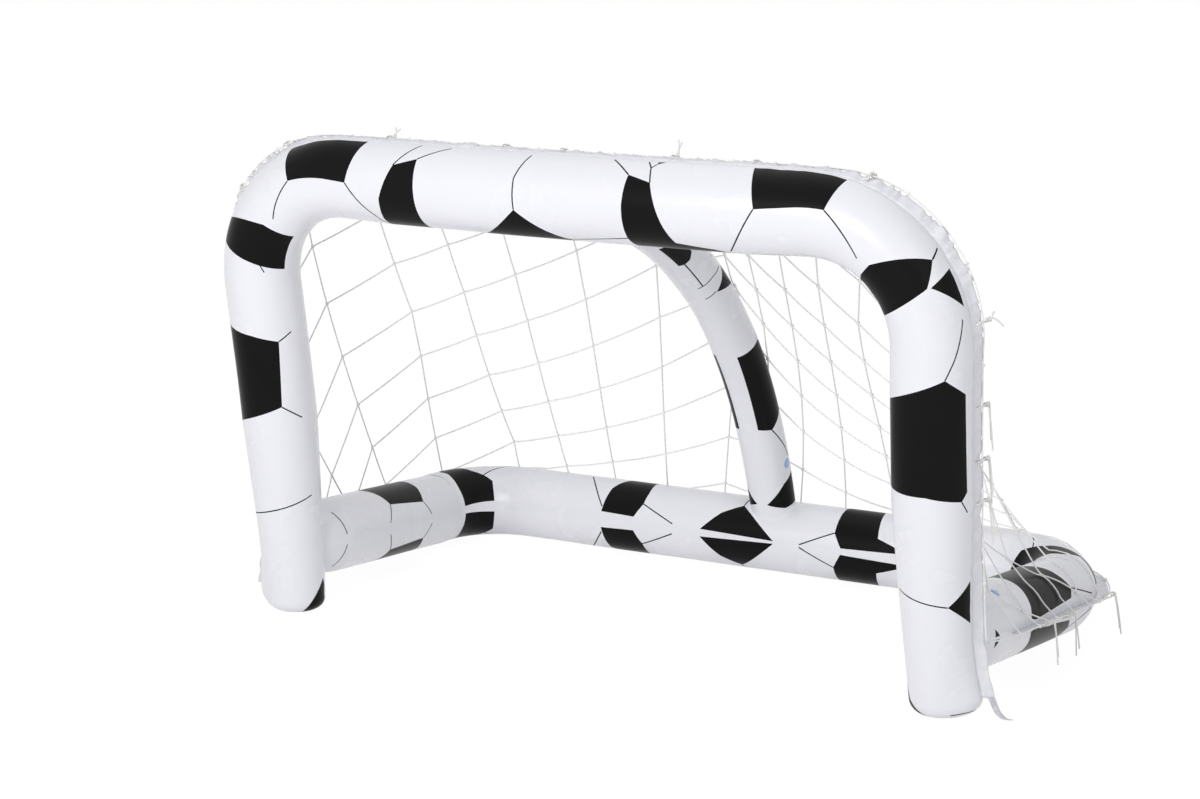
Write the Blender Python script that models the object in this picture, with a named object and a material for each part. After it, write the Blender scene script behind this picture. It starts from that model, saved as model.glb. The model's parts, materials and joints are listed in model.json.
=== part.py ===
"""Inflatable soccer goal: welded air chambers, seam strips, valves, a draped net and its ties.

Metres, +Z up. The mouth of the goal faces -Y. Everything is built around the point on the floor
midway between the two post feet, and the whole goal is then moved so that the middle of its
footprint stands on the world origin.
"""

import math

import bmesh
import bpy
import numpy as np
from mathutils import Matrix, Vector

# Overall size of the air chambers, and the film round their air
GOAL_WIDTH = 2.13
GOAL_HEIGHT = 1.345
GOAL_DEPTH = 0.975
BACK_SPAN = 1.952
LEAN = math.radians(7.5)
FILM_THICKNESS = 0.0012

# Front arch: two posts and the crossbar in one chamber
POST_RADIUS = 0.101
BAR_RADIUS = 0.1075
FOOT_RADIUS = 0.079
FOOT_TAPER = 0.55
FOOT_EDGE = 0.034
BAR_SWELL_SPAN = 0.30
ARCH_CORNER = 0.316
BAR_SAG = 0.011
POST_BOW = 0.014
FOOT_TUCK = 0.012
ARCH_SIDES = 22
ARCH_STEP = 0.17
CORNER_STEPS = 7

# Ground frame: two side tubes and the back bar in one chamber
GROUND_RADIUS = 0.104
GROUND_CORNER = 0.218
SIDE_RAISE = 0.082
GROUND_FLAT = 0.0015
SIDE_START = 0.015
SIDE_DOME = 0.15
SIDE_TIP_SHARE = 0.45
GROUND_SIDES = 22
GROUND_STEP = 0.19

# Centre strut from the crossbar to the back bar
STRUT_RADIUS = 0.066
STRUT_BULGE = 0.27
STRUT_TOP_X = 0.0
STRUT_FOOT_X = 0.062
STRUT_SIDES = 16
STRUT_STEPS = 14

# Seam strips with their tie holes
STRIP_WIDTH = 0.030
STRIP_THICKNESS = 0.0012
STRIP_FOOT = 0.055
STRIP_SIDE_START = 0.17
HOLE_RADIUS = 0.004
HOLE_EDGE = 0.012
HOLE_SIDES = 8
ARCH_TIES = 15
GROUND_TIES = 12
TIE_END_SHARE = 0.04

# Ties: short lengths of cord, knotted outside the net's edge
TIE_RADIUS = 0.0014
TIE_LOOP_REACH = 0.014
TIE_KNOT_TURN = 0.0035
TIE_TAIL = 0.045
TIE_SHORT_TAIL = 0.036
TIE_TAIL_SPREAD = 0.010
TIE_TAIL_HANG = 0.7

# Net: a flat sheet of square mesh, spread over the back and both sides
NET_CORD = 0.0036
CORD_CORNER = 0.75
NET_EDGE_GAP = 0.006
NET_SPAN = 4.15
NET_DROP = 1.80
NET_SIDE_SHARE = 0.28
NET_SIDE_REACH = 0.80
NET_RIDGE_HEIGHT = 0.25
NET_RIDGE_SPREAD = 0.42
NET_REST = 0.0008

# Net lattice on the flat sheet: columns count from the strut, rows from the crossbar
MESH_MIDDLE = 0.04
MESH_LEFT = 0.185
MESH_RIGHT = 0.105
MESH_RIGHT_GROWTH = 0.0055
MESH_TOP = 0.20
MESH_DROP = 0.182
MESH_LEFT_FALL = 0.055
MESH_RIGHT_FALL = 0.105
MESH_DRIFT = 0.23
MESH_LEFT_COLUMNS = 10
MESH_RIGHT_COLUMNS = 11
MESH_FIRST_ROW = -8
MESH_LAST_ROW = 10
SIDE_PANEL_COLUMN = 6
LEAST_CORD = 0.035
SHARP_TURN = 0.5
CORD_STEP = 0.075
CLEAR_ROUNDS = 60
LEAST_PULL = 0.05
MOST_PULL = 2.0

# Valves: places on the chambers, then sizes
ARCH_VALVE_HEIGHT = 0.56
ARCH_VALVE_TURN = math.radians(90)
GROUND_VALVE_LENGTH = 0.185
GROUND_VALVE_TURN = math.radians(64)
STRUT_VALVE_SHARE = 0.87
STRUT_VALVE_TURN = math.radians(90)
FLANGE_RADIUS = 0.016
FLANGE_THICKNESS = 0.0012
FLANGE_LIP = 0.0025
SEAT_SPARE = 0.0015
STEM_RADIUS = 0.0095
STEM_BORE = 0.0046
STEM_LENGTH = 0.014
STEM_RIM = 0.0010
STEM_RIM_THICKNESS = 0.0008
STEM_FOOT = 0.0006
POCKET_SPARE = 0.0010
CAP_RADIUS = 0.0085
CAP_THICKNESS = 0.0014
PEG_RADIUS = 0.0036
PEG_TIP_RADIUS = 0.0028
PEG_LENGTH = 0.005
KNUCKLE_OFFSET = 0.0018
KNUCKLE_RADIUS = 0.0007
KNUCKLE_LENGTH = 0.0050
EAR_THICKNESS = 0.0010
VALVE_SIDES = 16

# Fits
CLEARANCE = 0.0003

root = None


def material(name, colour, roughness):
    """Principled material for one sub-part."""
    made = bpy.data.materials.new(name)
    made.use_nodes = True
    shader = made.node_tree.nodes["Principled BSDF"]
    shader.inputs["Base Color"].default_value = (*colour, 1.0)
    shader.inputs["Roughness"].default_value = roughness
    shader.inputs["Metallic"].default_value = 0.0
    return made


def add_object(name, mesh, look, smooth=True):
    """Put a mesh in the scene as one named sub-part of the goal."""
    made = bpy.data.objects.new(name, mesh)
    made.parent = root
    bpy.context.scene.collection.objects.link(made)
    if look is not None:
        mesh.materials.append(look)
    if smooth:
        mesh.shade_smooth()
        mesh.set_sharp_from_angle(angle=math.radians(50))
    return made


def guide(made):
    """Mark a cutter: it shapes other pieces and is not a piece itself."""
    made.hide_render = True
    made.display_type = "WIRE"
    return made


def cut(target, cutter):
    """Subtract a cutter from a piece."""
    made = target.modifiers.new("cut_" + cutter.name, "BOOLEAN")
    made.operation = "DIFFERENCE"
    made.solver = "EXACT"
    made.object = cutter


def sweep(name, stations, look, sides):
    """Closed tube through stations of (centre, out, across, radius out, radius across)."""
    bm = bmesh.new()
    rings = []
    for centre, out, across, r_out, r_across in stations:
        ring = []
        for k in range(sides):
            angle = 2 * math.pi * k / sides
            point = centre + out * (r_out * math.cos(angle)) + across * (r_across * math.sin(angle))
            ring.append(bm.verts.new(point))
        rings.append(ring)
    for near, far in zip(rings, rings[1:]):
        for k in range(sides):
            n = (k + 1) % sides
            bm.faces.new((near[k], near[n], far[n], far[k]))
    bm.faces.new(rings[0])
    bm.faces.new(rings[-1])
    bmesh.ops.recalc_face_normals(bm, faces=bm.faces)
    mesh = bpy.data.meshes.new(name)
    bm.to_mesh(mesh)
    bm.free()
    return add_object(name, mesh, look)


def turned(name, profile, place, look, sides):
    """Closed turned solid: profile of (radius, height), joined round the local Z axis."""
    bm = bmesh.new()
    rings = []
    for radius, height in profile:
        if radius == 0:
            rings.append([bm.verts.new((0, 0, height))] * sides)
            continue
        ring = []
        for k in range(sides):
            angle = 2 * math.pi * k / sides
            ring.append(bm.verts.new((radius * math.cos(angle), radius * math.sin(angle), height)))
        rings.append(ring)
    closed = rings if profile[0][0] == 0 else rings + rings[:1]
    for near, far in zip(closed, closed[1:]):
        for k in range(sides):
            n = (k + 1) % sides
            corners = list(dict.fromkeys((near[k], near[n], far[n], far[k])))
            bm.faces.new(corners)
    bmesh.ops.recalc_face_normals(bm, faces=bm.faces)
    mesh = bpy.data.meshes.new(name)
    bm.to_mesh(mesh)
    bm.free()
    made = add_object(name, mesh, look)
    made.matrix_local = place
    return made


def steps_between(start, end, step):
    """Evenly spaced values from start up to, but without, end."""
    count = max(1, round((end - start) / step))
    return [start + (end - start) * k / count for k in range(count)]


# The arch's centreline lies in a plane that leans forward. Inside it a point is (x, height).
ARCH_HALF = GOAL_WIDTH / 2 - POST_RADIUS
BAR_HEIGHT = GOAL_HEIGHT - BAR_RADIUS + BAR_SAG / 2
POST_RUN = BAR_HEIGHT - ARCH_CORNER
BAR_RUN = 2 * (ARCH_HALF - ARCH_CORNER)
ARCH_TURN = ARCH_CORNER * math.pi / 2
ARCH_LENGTH = 2 * POST_RUN + 2 * ARCH_TURN + BAR_RUN
ARCH_NORMAL = Vector((0, math.cos(LEAN), math.sin(LEAN)))
ARCH_UP = Vector((0, -math.tan(LEAN), 1))


def arch_flat(length):
    """Point (x, height) and outward direction at a length along the arch, from the left foot."""
    if length > ARCH_LENGTH / 2:
        x, height, out_x, out_h = arch_flat(ARCH_LENGTH - length)
        return -x, height, -out_x, out_h
    if length <= POST_RUN:
        return -ARCH_HALF, length, -1.0, 0.0
    if length <= POST_RUN + ARCH_TURN:
        angle = math.pi - (length - POST_RUN) / ARCH_CORNER
        out_x = math.cos(angle)
        out_h = math.sin(angle)
        x = -ARCH_HALF + ARCH_CORNER * (1 + out_x)
        return x, POST_RUN + ARCH_CORNER * out_h, out_x, out_h
    x = -ARCH_HALF + ARCH_CORNER + (length - POST_RUN - ARCH_TURN)
    return x, BAR_HEIGHT, 0.0, 1.0


def arch_radius(x, height):
    """Radius of the arch's tube: fuller in the crossbar, narrower towards the feet."""
    swell = min(1.0, max(0.0, (ARCH_HALF - ARCH_CORNER / 2 - abs(x)) / BAR_SWELL_SPAN))
    if height < POST_RUN:
        swell = 0.0
    taper = min(1.0, max(0.0, 1 - height / FOOT_TAPER))
    radius = POST_RADIUS + (BAR_RADIUS - POST_RADIUS) * swell - (POST_RADIUS - FOOT_RADIUS) * taper
    if height < FOOT_EDGE:
        radius -= FOOT_EDGE * (1 - math.sqrt(1 - (1 - height / FOOT_EDGE) ** 2))
    return radius


def arch_station(length):
    """Centre, outward, across and radius of the arch at a length from the left foot."""
    x, height, out_x, out_h = arch_flat(length)
    share = height / BAR_HEIGHT
    inward = POST_BOW * math.sin(math.pi * share) + FOOT_TUCK * (1 - share)
    side = abs(out_x)
    x -= math.copysign(inward, x) * side
    height -= BAR_SAG * math.cos(math.pi * x / GOAL_WIDTH) * out_h
    centre = Vector((x, 0, 0)) + ARCH_UP * height
    out = (Vector((out_x, 0, 0)) + ARCH_UP * out_h).normalized()
    level = min(1.0, height / FOOT_TAPER)
    across = Vector((0, 1, 0)).lerp(ARCH_NORMAL, level).normalized()
    return centre, out, across, arch_radius(x, height)


def arch_lengths(start):
    """Lengths of the arch's rings, from start above the left foot to the same on the right."""
    half = []
    if start == 0:
        half += [FOOT_EDGE * (1 - math.cos(math.pi / 2 * k / 4)) for k in range(4)]
        start = FOOT_EDGE
    half += steps_between(start, POST_RUN, ARCH_STEP)
    half += steps_between(POST_RUN, POST_RUN + ARCH_TURN, ARCH_TURN / CORNER_STEPS)
    half += steps_between(POST_RUN + ARCH_TURN, ARCH_LENGTH / 2, ARCH_STEP)
    return half + [ARCH_LENGTH / 2] + [ARCH_LENGTH - value for value in reversed(half)]


# The ground frame's centreline in plan: side tubes, two corners and the back bar.
GROUND_HALF_FRONT = ARCH_HALF - FOOT_TUCK
GROUND_HALF_BACK = BACK_SPAN / 2
GROUND_LEVEL = GROUND_RADIUS - GROUND_FLAT
SIDE_RUN = GOAL_DEPTH - GROUND_CORNER - SIDE_START
GROUND_TURN = GROUND_CORNER * math.pi / 2
BACK_RUN = 2 * (GROUND_HALF_BACK - GROUND_CORNER)
GROUND_LENGTH = 2 * SIDE_RUN + 2 * GROUND_TURN + BACK_RUN


def ground_station(length):
    """Centre, outward, across and radius of the ground frame, from its left front end."""
    if length > GROUND_LENGTH / 2:
        centre, out, across, radius = ground_station(GROUND_LENGTH - length)
        flip = Vector((-1, 1, 1))
        return centre * flip, out * flip, across * flip, radius
    if length <= SIDE_RUN:
        share = length / SIDE_RUN
        half = GROUND_HALF_FRONT + (GROUND_HALF_BACK - GROUND_HALF_FRONT) * share
        centre = Vector((-half, SIDE_START + length, GROUND_LEVEL + SIDE_RAISE * (1 - share)))
        out = Vector((-1, 0, 0))
        across = Vector((0, SIDE_RAISE / SIDE_RUN, 1)).normalized()
    elif length <= SIDE_RUN + GROUND_TURN:
        angle = math.pi - (length - SIDE_RUN) / GROUND_CORNER
        out = Vector((math.cos(angle), math.sin(angle), 0))
        middle = Vector((-GROUND_HALF_BACK + GROUND_CORNER, GOAL_DEPTH - GROUND_CORNER, GROUND_LEVEL))
        centre = middle + out * GROUND_CORNER
        across = Vector((0, 0, 1))
    else:
        x = -GROUND_HALF_BACK + GROUND_CORNER + (length - SIDE_RUN - GROUND_TURN)
        centre = Vector((x, GOAL_DEPTH, GROUND_LEVEL))
        out = Vector((0, 1, 0))
        across = Vector((0, 0, 1))
    dome = min(1.0, length / SIDE_DOME)
    radius = GROUND_RADIUS * (SIDE_TIP_SHARE + (1 - SIDE_TIP_SHARE) * math.sqrt(1 - (1 - dome) ** 2))
    return centre, out, across, radius


def ground_lengths(start):
    """Lengths of the ground frame's rings, from start behind the left post to the same right."""
    half = []
    if start == 0:
        half += [SIDE_DOME * (1 - math.cos(math.pi / 2 * k / 5)) for k in range(5)]
        start = SIDE_DOME
    half += steps_between(start, SIDE_RUN, GROUND_STEP)
    half += steps_between(SIDE_RUN, SIDE_RUN + GROUND_TURN, GROUND_TURN / CORNER_STEPS)
    half += steps_between(SIDE_RUN + GROUND_TURN, GROUND_LENGTH / 2, GROUND_STEP)
    return half + [GROUND_LENGTH / 2] + [GROUND_LENGTH - value for value in reversed(half)]


def strut_station(share):
    """Centre, outward, across and radius of the strut, from the crossbar to the back bar."""
    top = Vector((STRUT_TOP_X, 0, 0)) + ARCH_UP * (BAR_HEIGHT - BAR_SAG)
    foot = Vector((STRUT_FOOT_X, GOAL_DEPTH, GROUND_LEVEL))
    chord = foot - top
    away = Vector((0, -chord.z, chord.y)).normalized()
    centre = top + chord * share + away * (4 * share * (1 - share) * STRUT_BULGE)
    along = (chord + away * (4 * (1 - 2 * share) * STRUT_BULGE)).normalized()
    across = along.cross(away).normalized()
    out = across.cross(along).normalized()
    return centre, out, across, STRUT_RADIUS


def tube_stations(stations, extra):
    """Sweep stations from (centre, out, across, radius), every radius grown by extra."""
    return [(c, out, across, r + extra, r + extra) for c, out, across, r in stations]


def box(name, low, high):
    """Closed box between two corners."""
    bm = bmesh.new()
    bmesh.ops.create_cube(bm, size=1.0)
    size = Vector(high) - Vector(low)
    middle = (Vector(high) + Vector(low)) / 2
    place = Matrix.Translation(middle) @ Matrix.Diagonal((*size, 1))
    bmesh.ops.transform(bm, matrix=place, verts=bm.verts)
    mesh = bpy.data.meshes.new(name)
    bm.to_mesh(mesh)
    bm.free()
    return add_object(name, mesh, None, smooth=False)


def air_inside(name, tube):
    """Guide for the air in a tube: its surface moved inwards by the film."""
    bm = bmesh.new()
    bm.from_mesh(tube.data)
    bm.normal_update()
    moves = [vert.normal * (FILM_THICKNESS * vert.calc_shell_factor()) for vert in bm.verts]
    for vert, move in zip(bm.verts, moves):
        vert.co -= move
    mesh = bpy.data.meshes.new(name)
    bm.to_mesh(mesh)
    bm.free()
    air = guide(add_object(name, mesh, None))
    cut(tube, air)
    return air


def chambers():
    """The three hollow chambers, each with its air, trimmed against each other."""
    vinyl = material("vinyl_white", (0.86, 0.86, 0.9), 0.25)
    arch_rings = [arch_station(value) for value in arch_lengths(0)]
    ground_rings = [ground_station(value) for value in ground_lengths(0)]
    strut_rings = [strut_station(k / STRUT_STEPS) for k in range(STRUT_STEPS + 1)]
    arch = sweep("front_arch", tube_stations(arch_rings, 0), vinyl, ARCH_SIDES)
    ground = sweep("ground_frame", tube_stations(ground_rings, 0), vinyl, GROUND_SIDES)
    strut = sweep("centre_strut", tube_stations(strut_rings, 0), vinyl, STRUT_SIDES)
    arch_space = guide(sweep("arch_space", tube_stations(arch_rings, CLEARANCE), None, ARCH_SIDES))
    ground_space = guide(sweep("ground_space", tube_stations(ground_rings, CLEARANCE), None, GROUND_SIDES))
    reach = GOAL_WIDTH + GOAL_DEPTH
    floor = guide(box("floor_space", (-reach, -reach, -GROUND_RADIUS), (reach, reach, 0)))
    cut(ground, arch_space)
    cut(ground, floor)
    cut(strut, arch_space)
    cut(strut, ground_space)

    walled = CLEARANCE + FILM_THICKNESS
    arch_wall = guide(sweep("arch_wall", tube_stations(arch_rings, walled), None, ARCH_SIDES))
    ground_wall = guide(sweep("ground_wall", tube_stations(ground_rings, walled), None, GROUND_SIDES))
    arch_air = air_inside("arch_air", arch)
    ground_air = air_inside("ground_air", ground)
    strut_air = air_inside("strut_air", strut)
    cut(ground_air, arch_wall)
    cut(strut_air, arch_wall)
    cut(strut_air, ground_wall)
    return (arch, arch_air), (ground, ground_air), (strut, strut_air)


def strip(name, stations, holes, look):
    """Flat seam strip standing out of a tube's outer seam, with a row of tie holes."""
    bm = bmesh.new()
    rings = []
    half = STRIP_THICKNESS / 2
    for centre, out, across, radius in stations:
        inner = centre + out * (radius + CLEARANCE)
        outer = centre + out * (radius + STRIP_WIDTH)
        side = across * half
        corners = (inner - side, outer - side, outer + side, inner + side)
        rings.append([bm.verts.new(point) for point in corners])
    for near, far in zip(rings, rings[1:]):
        for k in range(4):
            n = (k + 1) % 4
            bm.faces.new((near[k], near[n], far[n], far[k]))
    bm.faces.new(rings[0])
    bm.faces.new(rings[-1])
    bmesh.ops.recalc_face_normals(bm, faces=bm.faces)
    mesh = bpy.data.meshes.new(name)
    bm.to_mesh(mesh)
    bm.free()
    made = add_object(name, mesh, look, smooth=False)
    cut(made, hole_cutter(name + "_holes", holes))
    return made


def hole_cutter(name, holes):
    """One cutter with a short cylinder through the strip at each tie."""
    bm = bmesh.new()
    for centre, out, across, radius in holes:
        middle = centre + out * (radius + STRIP_WIDTH - HOLE_EDGE)
        turn = across.to_track_quat("Z", "Y").to_matrix().to_4x4()
        bmesh.ops.create_cone(
            bm, cap_ends=True, segments=HOLE_SIDES, radius1=HOLE_RADIUS, radius2=HOLE_RADIUS,
            depth=2 * HOLE_EDGE, matrix=Matrix.Translation(middle) @ turn)
    mesh = bpy.data.meshes.new(name)
    bm.to_mesh(mesh)
    bm.free()
    return guide(add_object(name, mesh, None, smooth=False))


def tie_shares(knots, count):
    """Evenly spread places for ties along a seam, each moved midway between two rim knots."""
    gaps = sorted(zip(knots, knots[1:]))
    wide = [(near + far) / 2 for near, far in gaps if far - near > LEAST_CORD / NET_SPAN]
    chosen = []
    for k in range(count):
        wanted = (k + 0.5) / count
        free = [place for place in wide if place not in chosen]
        chosen.append(min(free, key=lambda place: abs(place - wanted)))
    return sorted(chosen)


def cord(name, points, radius, look):
    """Round cord along points, as a curve with closed ends."""
    curve = bpy.data.curves.new(name, "CURVE")
    curve.dimensions = "3D"
    curve.bevel_depth = radius
    curve.bevel_resolution = 0
    curve.use_fill_caps = True
    line = curve.splines.new("POLY")
    line.points.add(len(points) - 1)
    for point, place in zip(line.points, points):
        point.co = (*place, 1)
    made = bpy.data.objects.new(name, curve)
    made.parent = root
    curve.materials.append(look)
    bpy.context.scene.collection.objects.link(made)
    return made


def tie(name, station, look):
    """Cord through a tie hole and round the strip's edge, knotted outside with two tails."""
    centre, out, across, radius = station
    along = out.cross(across).normalized()
    edge = radius + STRIP_WIDTH
    hole = edge - HOLE_EDGE + HOLE_RADIUS - TIE_RADIUS - 2 * CLEARANCE
    knot = edge + TIE_LOOP_REACH
    side = TIE_KNOT_TURN
    down = Vector((0, 0, -1))
    tail_way = (down * TIE_TAIL_HANG + out).normalized()
    # Places in the tie's own axes: outward, across the strip, along the seam.
    loop = [
        (knot + side, side, side),
        (knot, side, -side),
        (edge, side, -side / 2),
        (hole, side, 0),
        (hole, 0, 0),
        (hole, -side, 0),
        (edge, -side, side / 2),
        (knot, -side, side),
        (knot + side, -side, -side),
    ]
    points = [centre + out * o + across * a + along * t for o, a, t in loop]
    spread = along * TIE_TAIL_SPREAD
    first = [points[0] + tail_way * (TIE_TAIL * share) + spread * share ** 2 for share in (1, 0.5)]
    last = [points[-1] + tail_way * (TIE_SHORT_TAIL * share) - spread * share ** 2 for share in (0.5, 1)]
    return cord(name, first + points + last, TIE_RADIUS, look)


def seam_work(rim):
    """The seam strips of both frames and the ties through their holes, between the net's rim knots."""
    clear_vinyl = material("strip_vinyl", (0.9, 0.9, 0.93), 0.35)
    tie_cord = material("tie_cord", (0.85, 0.84, 0.78), 0.8)
    frames = (
        ("arch", arch_seam, arch_station, arch_lengths, STRIP_FOOT, ARCH_TIES),
        ("ground", ground_seam, ground_station, ground_lengths, STRIP_SIDE_START, GROUND_TIES),
    )
    for label, seam, station, lengths, start, count in frames:
        rings = [station(value) for value in lengths(start)]
        knots = sorted(share for share in rim[label] if TIE_END_SHARE < share < 1 - TIE_END_SHARE)
        holes = [seam(share) for share in tie_shares(knots, count)]
        strip(label + "_seam_strip", rings, holes, clear_vinyl)
        for k, place in enumerate(holes):
            tie(f"{label}_tie_{k + 1:02d}", place, tie_cord)


def seam_point(station, reach):
    """Point on a frame's outer seam, reach outside the tube."""
    centre, out, _, radius = station
    return centre + out * (radius + reach)


def arch_seam(share):
    """Station of the arch at a share of its seam, between the two side tubes."""
    joint = GROUND_LEVEL + SIDE_RAISE
    return arch_station(joint + (ARCH_LENGTH - 2 * joint) * share)


def ground_seam(share):
    """Station of the ground frame at a share of its seam, from behind one post to the other."""
    behind = SIDE_DOME / 2
    return ground_station(behind + (GROUND_LENGTH - 2 * behind) * share)


def sheet_share(u, w):
    """Share along the seams, and fall from the arch's seam to the ground's, of a flat point."""
    half = NET_SPAN * (0.5 - NET_SIDE_SHARE)
    beyond = max(0.0, abs(u) - half)
    share = 0.5 - min(abs(u), half) / NET_SPAN - NET_SIDE_SHARE * beyond / NET_SIDE_REACH
    share = max(0.0, share)
    drop = NET_DROP * min(1.0, max(share, CLEARANCE) / NET_SIDE_SHARE)
    fall = min(1.0, max(0.0, 0.5 + (w - NET_DROP / 2) / drop))
    if u > 0:
        share = 1 - share
    return share, fall


def net_place(u, w):
    """Place in space of the flat sheet's point (u across, w down)."""
    share, fall = sheet_share(u, w)
    reach = STRIP_WIDTH + NET_EDGE_GAP
    half = NET_SPAN * (0.5 - NET_SIDE_SHARE)
    top = seam_point(arch_seam(share), reach)
    bottom = seam_point(ground_seam(share), reach)
    chord = bottom - top
    away = Vector((0, -chord.z, chord.y)).normalized()
    edge = math.exp(-half / NET_RIDGE_SPREAD)
    ridge = max(0.0, (math.exp(-abs(u - MESH_MIDDLE) / NET_RIDGE_SPREAD) - edge) / (1 - edge))
    return top + chord * fall + away * (NET_RIDGE_HEIGHT * ridge * 4 * fall * (1 - fall))


def knot(column, row):
    """Flat place of a knot: columns drift to the left, rows fall away from the strut."""
    count = abs(column)
    if column < 0:
        u = MESH_MIDDLE - MESH_LEFT * count
        w = MESH_TOP + MESH_DROP * row + MESH_LEFT_FALL * count
    else:
        u = MESH_MIDDLE + MESH_RIGHT * count + MESH_RIGHT_GROWTH * count ** 2
        w = MESH_TOP + MESH_DROP * row + MESH_RIGHT_FALL * count
    return u - MESH_DRIFT * (w - NET_DROP / 2), w


def sheet_outline():
    """Corners of the flat sheet: the back's rectangle with a triangle for each side."""
    half = NET_SPAN * (0.5 - NET_SIDE_SHARE)
    tip = half + NET_SIDE_REACH
    right = [(half, 0), (tip, NET_DROP / 2), (half, NET_DROP)]
    left = [(-half, NET_DROP), (-tip, NET_DROP / 2), (-half, 0)]
    return left[2:] + right + left[:2]


def tube_runs():
    """Straight runs of all three chambers as start, run, start radius, growth of radius."""
    runs = []
    frames = (
        [arch_station(value) for value in arch_lengths(0)],
        [ground_station(value) for value in ground_lengths(0)],
        [strut_station(k / STRUT_STEPS) for k in range(STRUT_STEPS + 1)],
    )
    for stations in frames:
        for near, far in zip(stations, stations[1:]):
            runs.append((*near[0], *(far[0] - near[0]), near[3], far[3] - near[3]))
    return np.array(runs)


def tube_lack(points, pairs, runs, gap):
    """How far each straight between a pair reaches into each run's gap, and where it does."""
    start = runs[None, :, 0:3]
    run = runs[None, :, 3:6]
    near = points[pairs[:, 0]][:, None]
    cord_run = points[pairs[:, 1]][:, None] - near
    offset = near - start
    cc = (cord_run * cord_run).sum(-1)
    rr = (run * run).sum(-1)
    cr = (cord_run * run).sum(-1)
    co = (cord_run * offset).sum(-1)
    ro = (run * offset).sum(-1)
    on_run = np.clip((cc * ro - cr * co) / np.maximum(cc * rr - cr * cr, 1e-12), 0, 1)
    on_cord = np.clip((cr * on_run - co) / cc, 0, 1)
    on_run = np.clip((ro + cr * on_cord) / rr, 0, 1)
    apart = offset + cord_run * on_cord[..., None] - run * on_run[..., None]
    distance = np.maximum(np.sqrt((apart * apart).sum(-1)), 1e-9)
    lack = runs[None, :, 6] + runs[None, :, 7] * on_run + gap - distance
    return lack, on_cord, apart / distance[..., None]


def clear_of_tubes(points, pairs, fixed, gap):
    """Move free points outwards until every straight between a pair clears the tubes by gap."""
    runs = tube_runs()
    for _ in range(CLEAR_ROUNDS):
        lack, on_cord, away = tube_lack(points, pairs, runs, gap)
        worst = lack.argmax(1)
        touching = [k for k in range(len(pairs)) if lack[k, worst[k]] > 0]
        if not touching:
            break
        move = np.zeros_like(points)
        count = np.zeros(len(points))
        for k in touching:
            tube = worst[k]
            share = on_cord[k, tube]
            near, far = pairs[k]
            pulls = {near: 1 - share, far: share}
            free = {end: pull for end, pull in pulls.items() if pull > LEAST_PULL and not fixed[end]}
            norm = sum(pull ** 2 for pull in free.values())
            for end, pull in free.items():
                move[end] += away[k, tube] * lack[k, tube] * min(MOST_PULL, pull / norm)
                count[end] += 1
        points = points + move / np.maximum(count, 1)[:, None]
    return points


def net_points(bm):
    """Places in space of a flat mesh's corners, and the pairs of corners that cords join."""
    bm.verts.index_update()
    points = np.array([net_place(vert.co.x, vert.co.y) for vert in bm.verts])
    pairs = np.array([[vert.index for vert in edge.verts] for edge in bm.edges])
    return points, pairs


def net_panel(name, first, last, look, rim):
    """One panel of the net, from one column of knots to another; adds its rim knots to rim."""
    bm = bmesh.new()
    apart = NET_CORD * CORD_CORNER + CLEARANCE
    rows = range(MESH_FIRST_ROW, MESH_LAST_ROW + 1)
    grid = {}
    for column in range(first, last + 1):
        for row in rows:
            u, w = knot(column, row)
            if column == first:
                u += apart
            if column == last:
                u -= apart
            grid[column, row] = bm.verts.new((u, w, 0))
    for column in range(first, last):
        for row in rows[:-1]:
            places = ((column, row), (column + 1, row), (column + 1, row + 1), (column, row + 1))
            bm.faces.new([grid[place] for place in places])
    outline = sheet_outline()
    for near, far in zip(outline, outline[1:] + outline[:1]):
        normal = Vector((far[1] - near[1], near[0] - far[0], 0))
        bmesh.ops.bisect_plane(
            bm, geom=bm.verts[:] + bm.edges[:] + bm.faces[:], plane_co=(*near, 0), plane_no=normal,
            clear_outer=True)
    merge_short_cords(bm)
    for vert in bm.verts:
        share, fall = sheet_share(vert.co.x, vert.co.y)
        if fall < CLEARANCE:
            rim["arch"].append(share)
        if fall > 1 - CLEARANCE:
            rim["ground"].append(share)
    gap = NET_CORD * CORD_CORNER + NET_REST
    points, pairs = net_points(bm)
    lack = tube_lack(points, pairs, tube_runs(), gap)[0].max(1)
    for edge, reach in zip(list(bm.edges), lack):
        if reach > -gap or edge.is_boundary:
            cuts = math.ceil(edge.calc_length() / CORD_STEP) - 1
            if cuts > 0:
                bmesh.ops.bisect_edges(bm, edges=[edge], cuts=cuts)
    fixed = np.array([on_outline(vert.co) for vert in bm.verts])
    points, pairs = net_points(bm)
    points = clear_of_tubes(points, pairs, fixed, gap)
    for vert, point in zip(bm.verts, points):
        vert.co = point
    bm.normal_update()
    cords = web_of_cords(bm, NET_CORD / 2)
    mesh = bpy.data.meshes.new(name)
    cords.to_mesh(mesh)
    cords.free()
    bm.free()
    return add_object(name, mesh, look, smooth=False)


def inward(face_normal, before, here, after, half):
    """Offset from a corner into its face, so that a cord's side lies half away from both edges."""
    first = face_normal.cross(here - before).normalized()
    second = face_normal.cross(after - here).normalized()
    middle = first + second
    if middle.length < SHARP_TURN:
        middle = (before - here).normalized() + (after - here).normalized()
    middle.normalize()
    return middle * (half / max(SHARP_TURN, middle.dot(first)))


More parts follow.
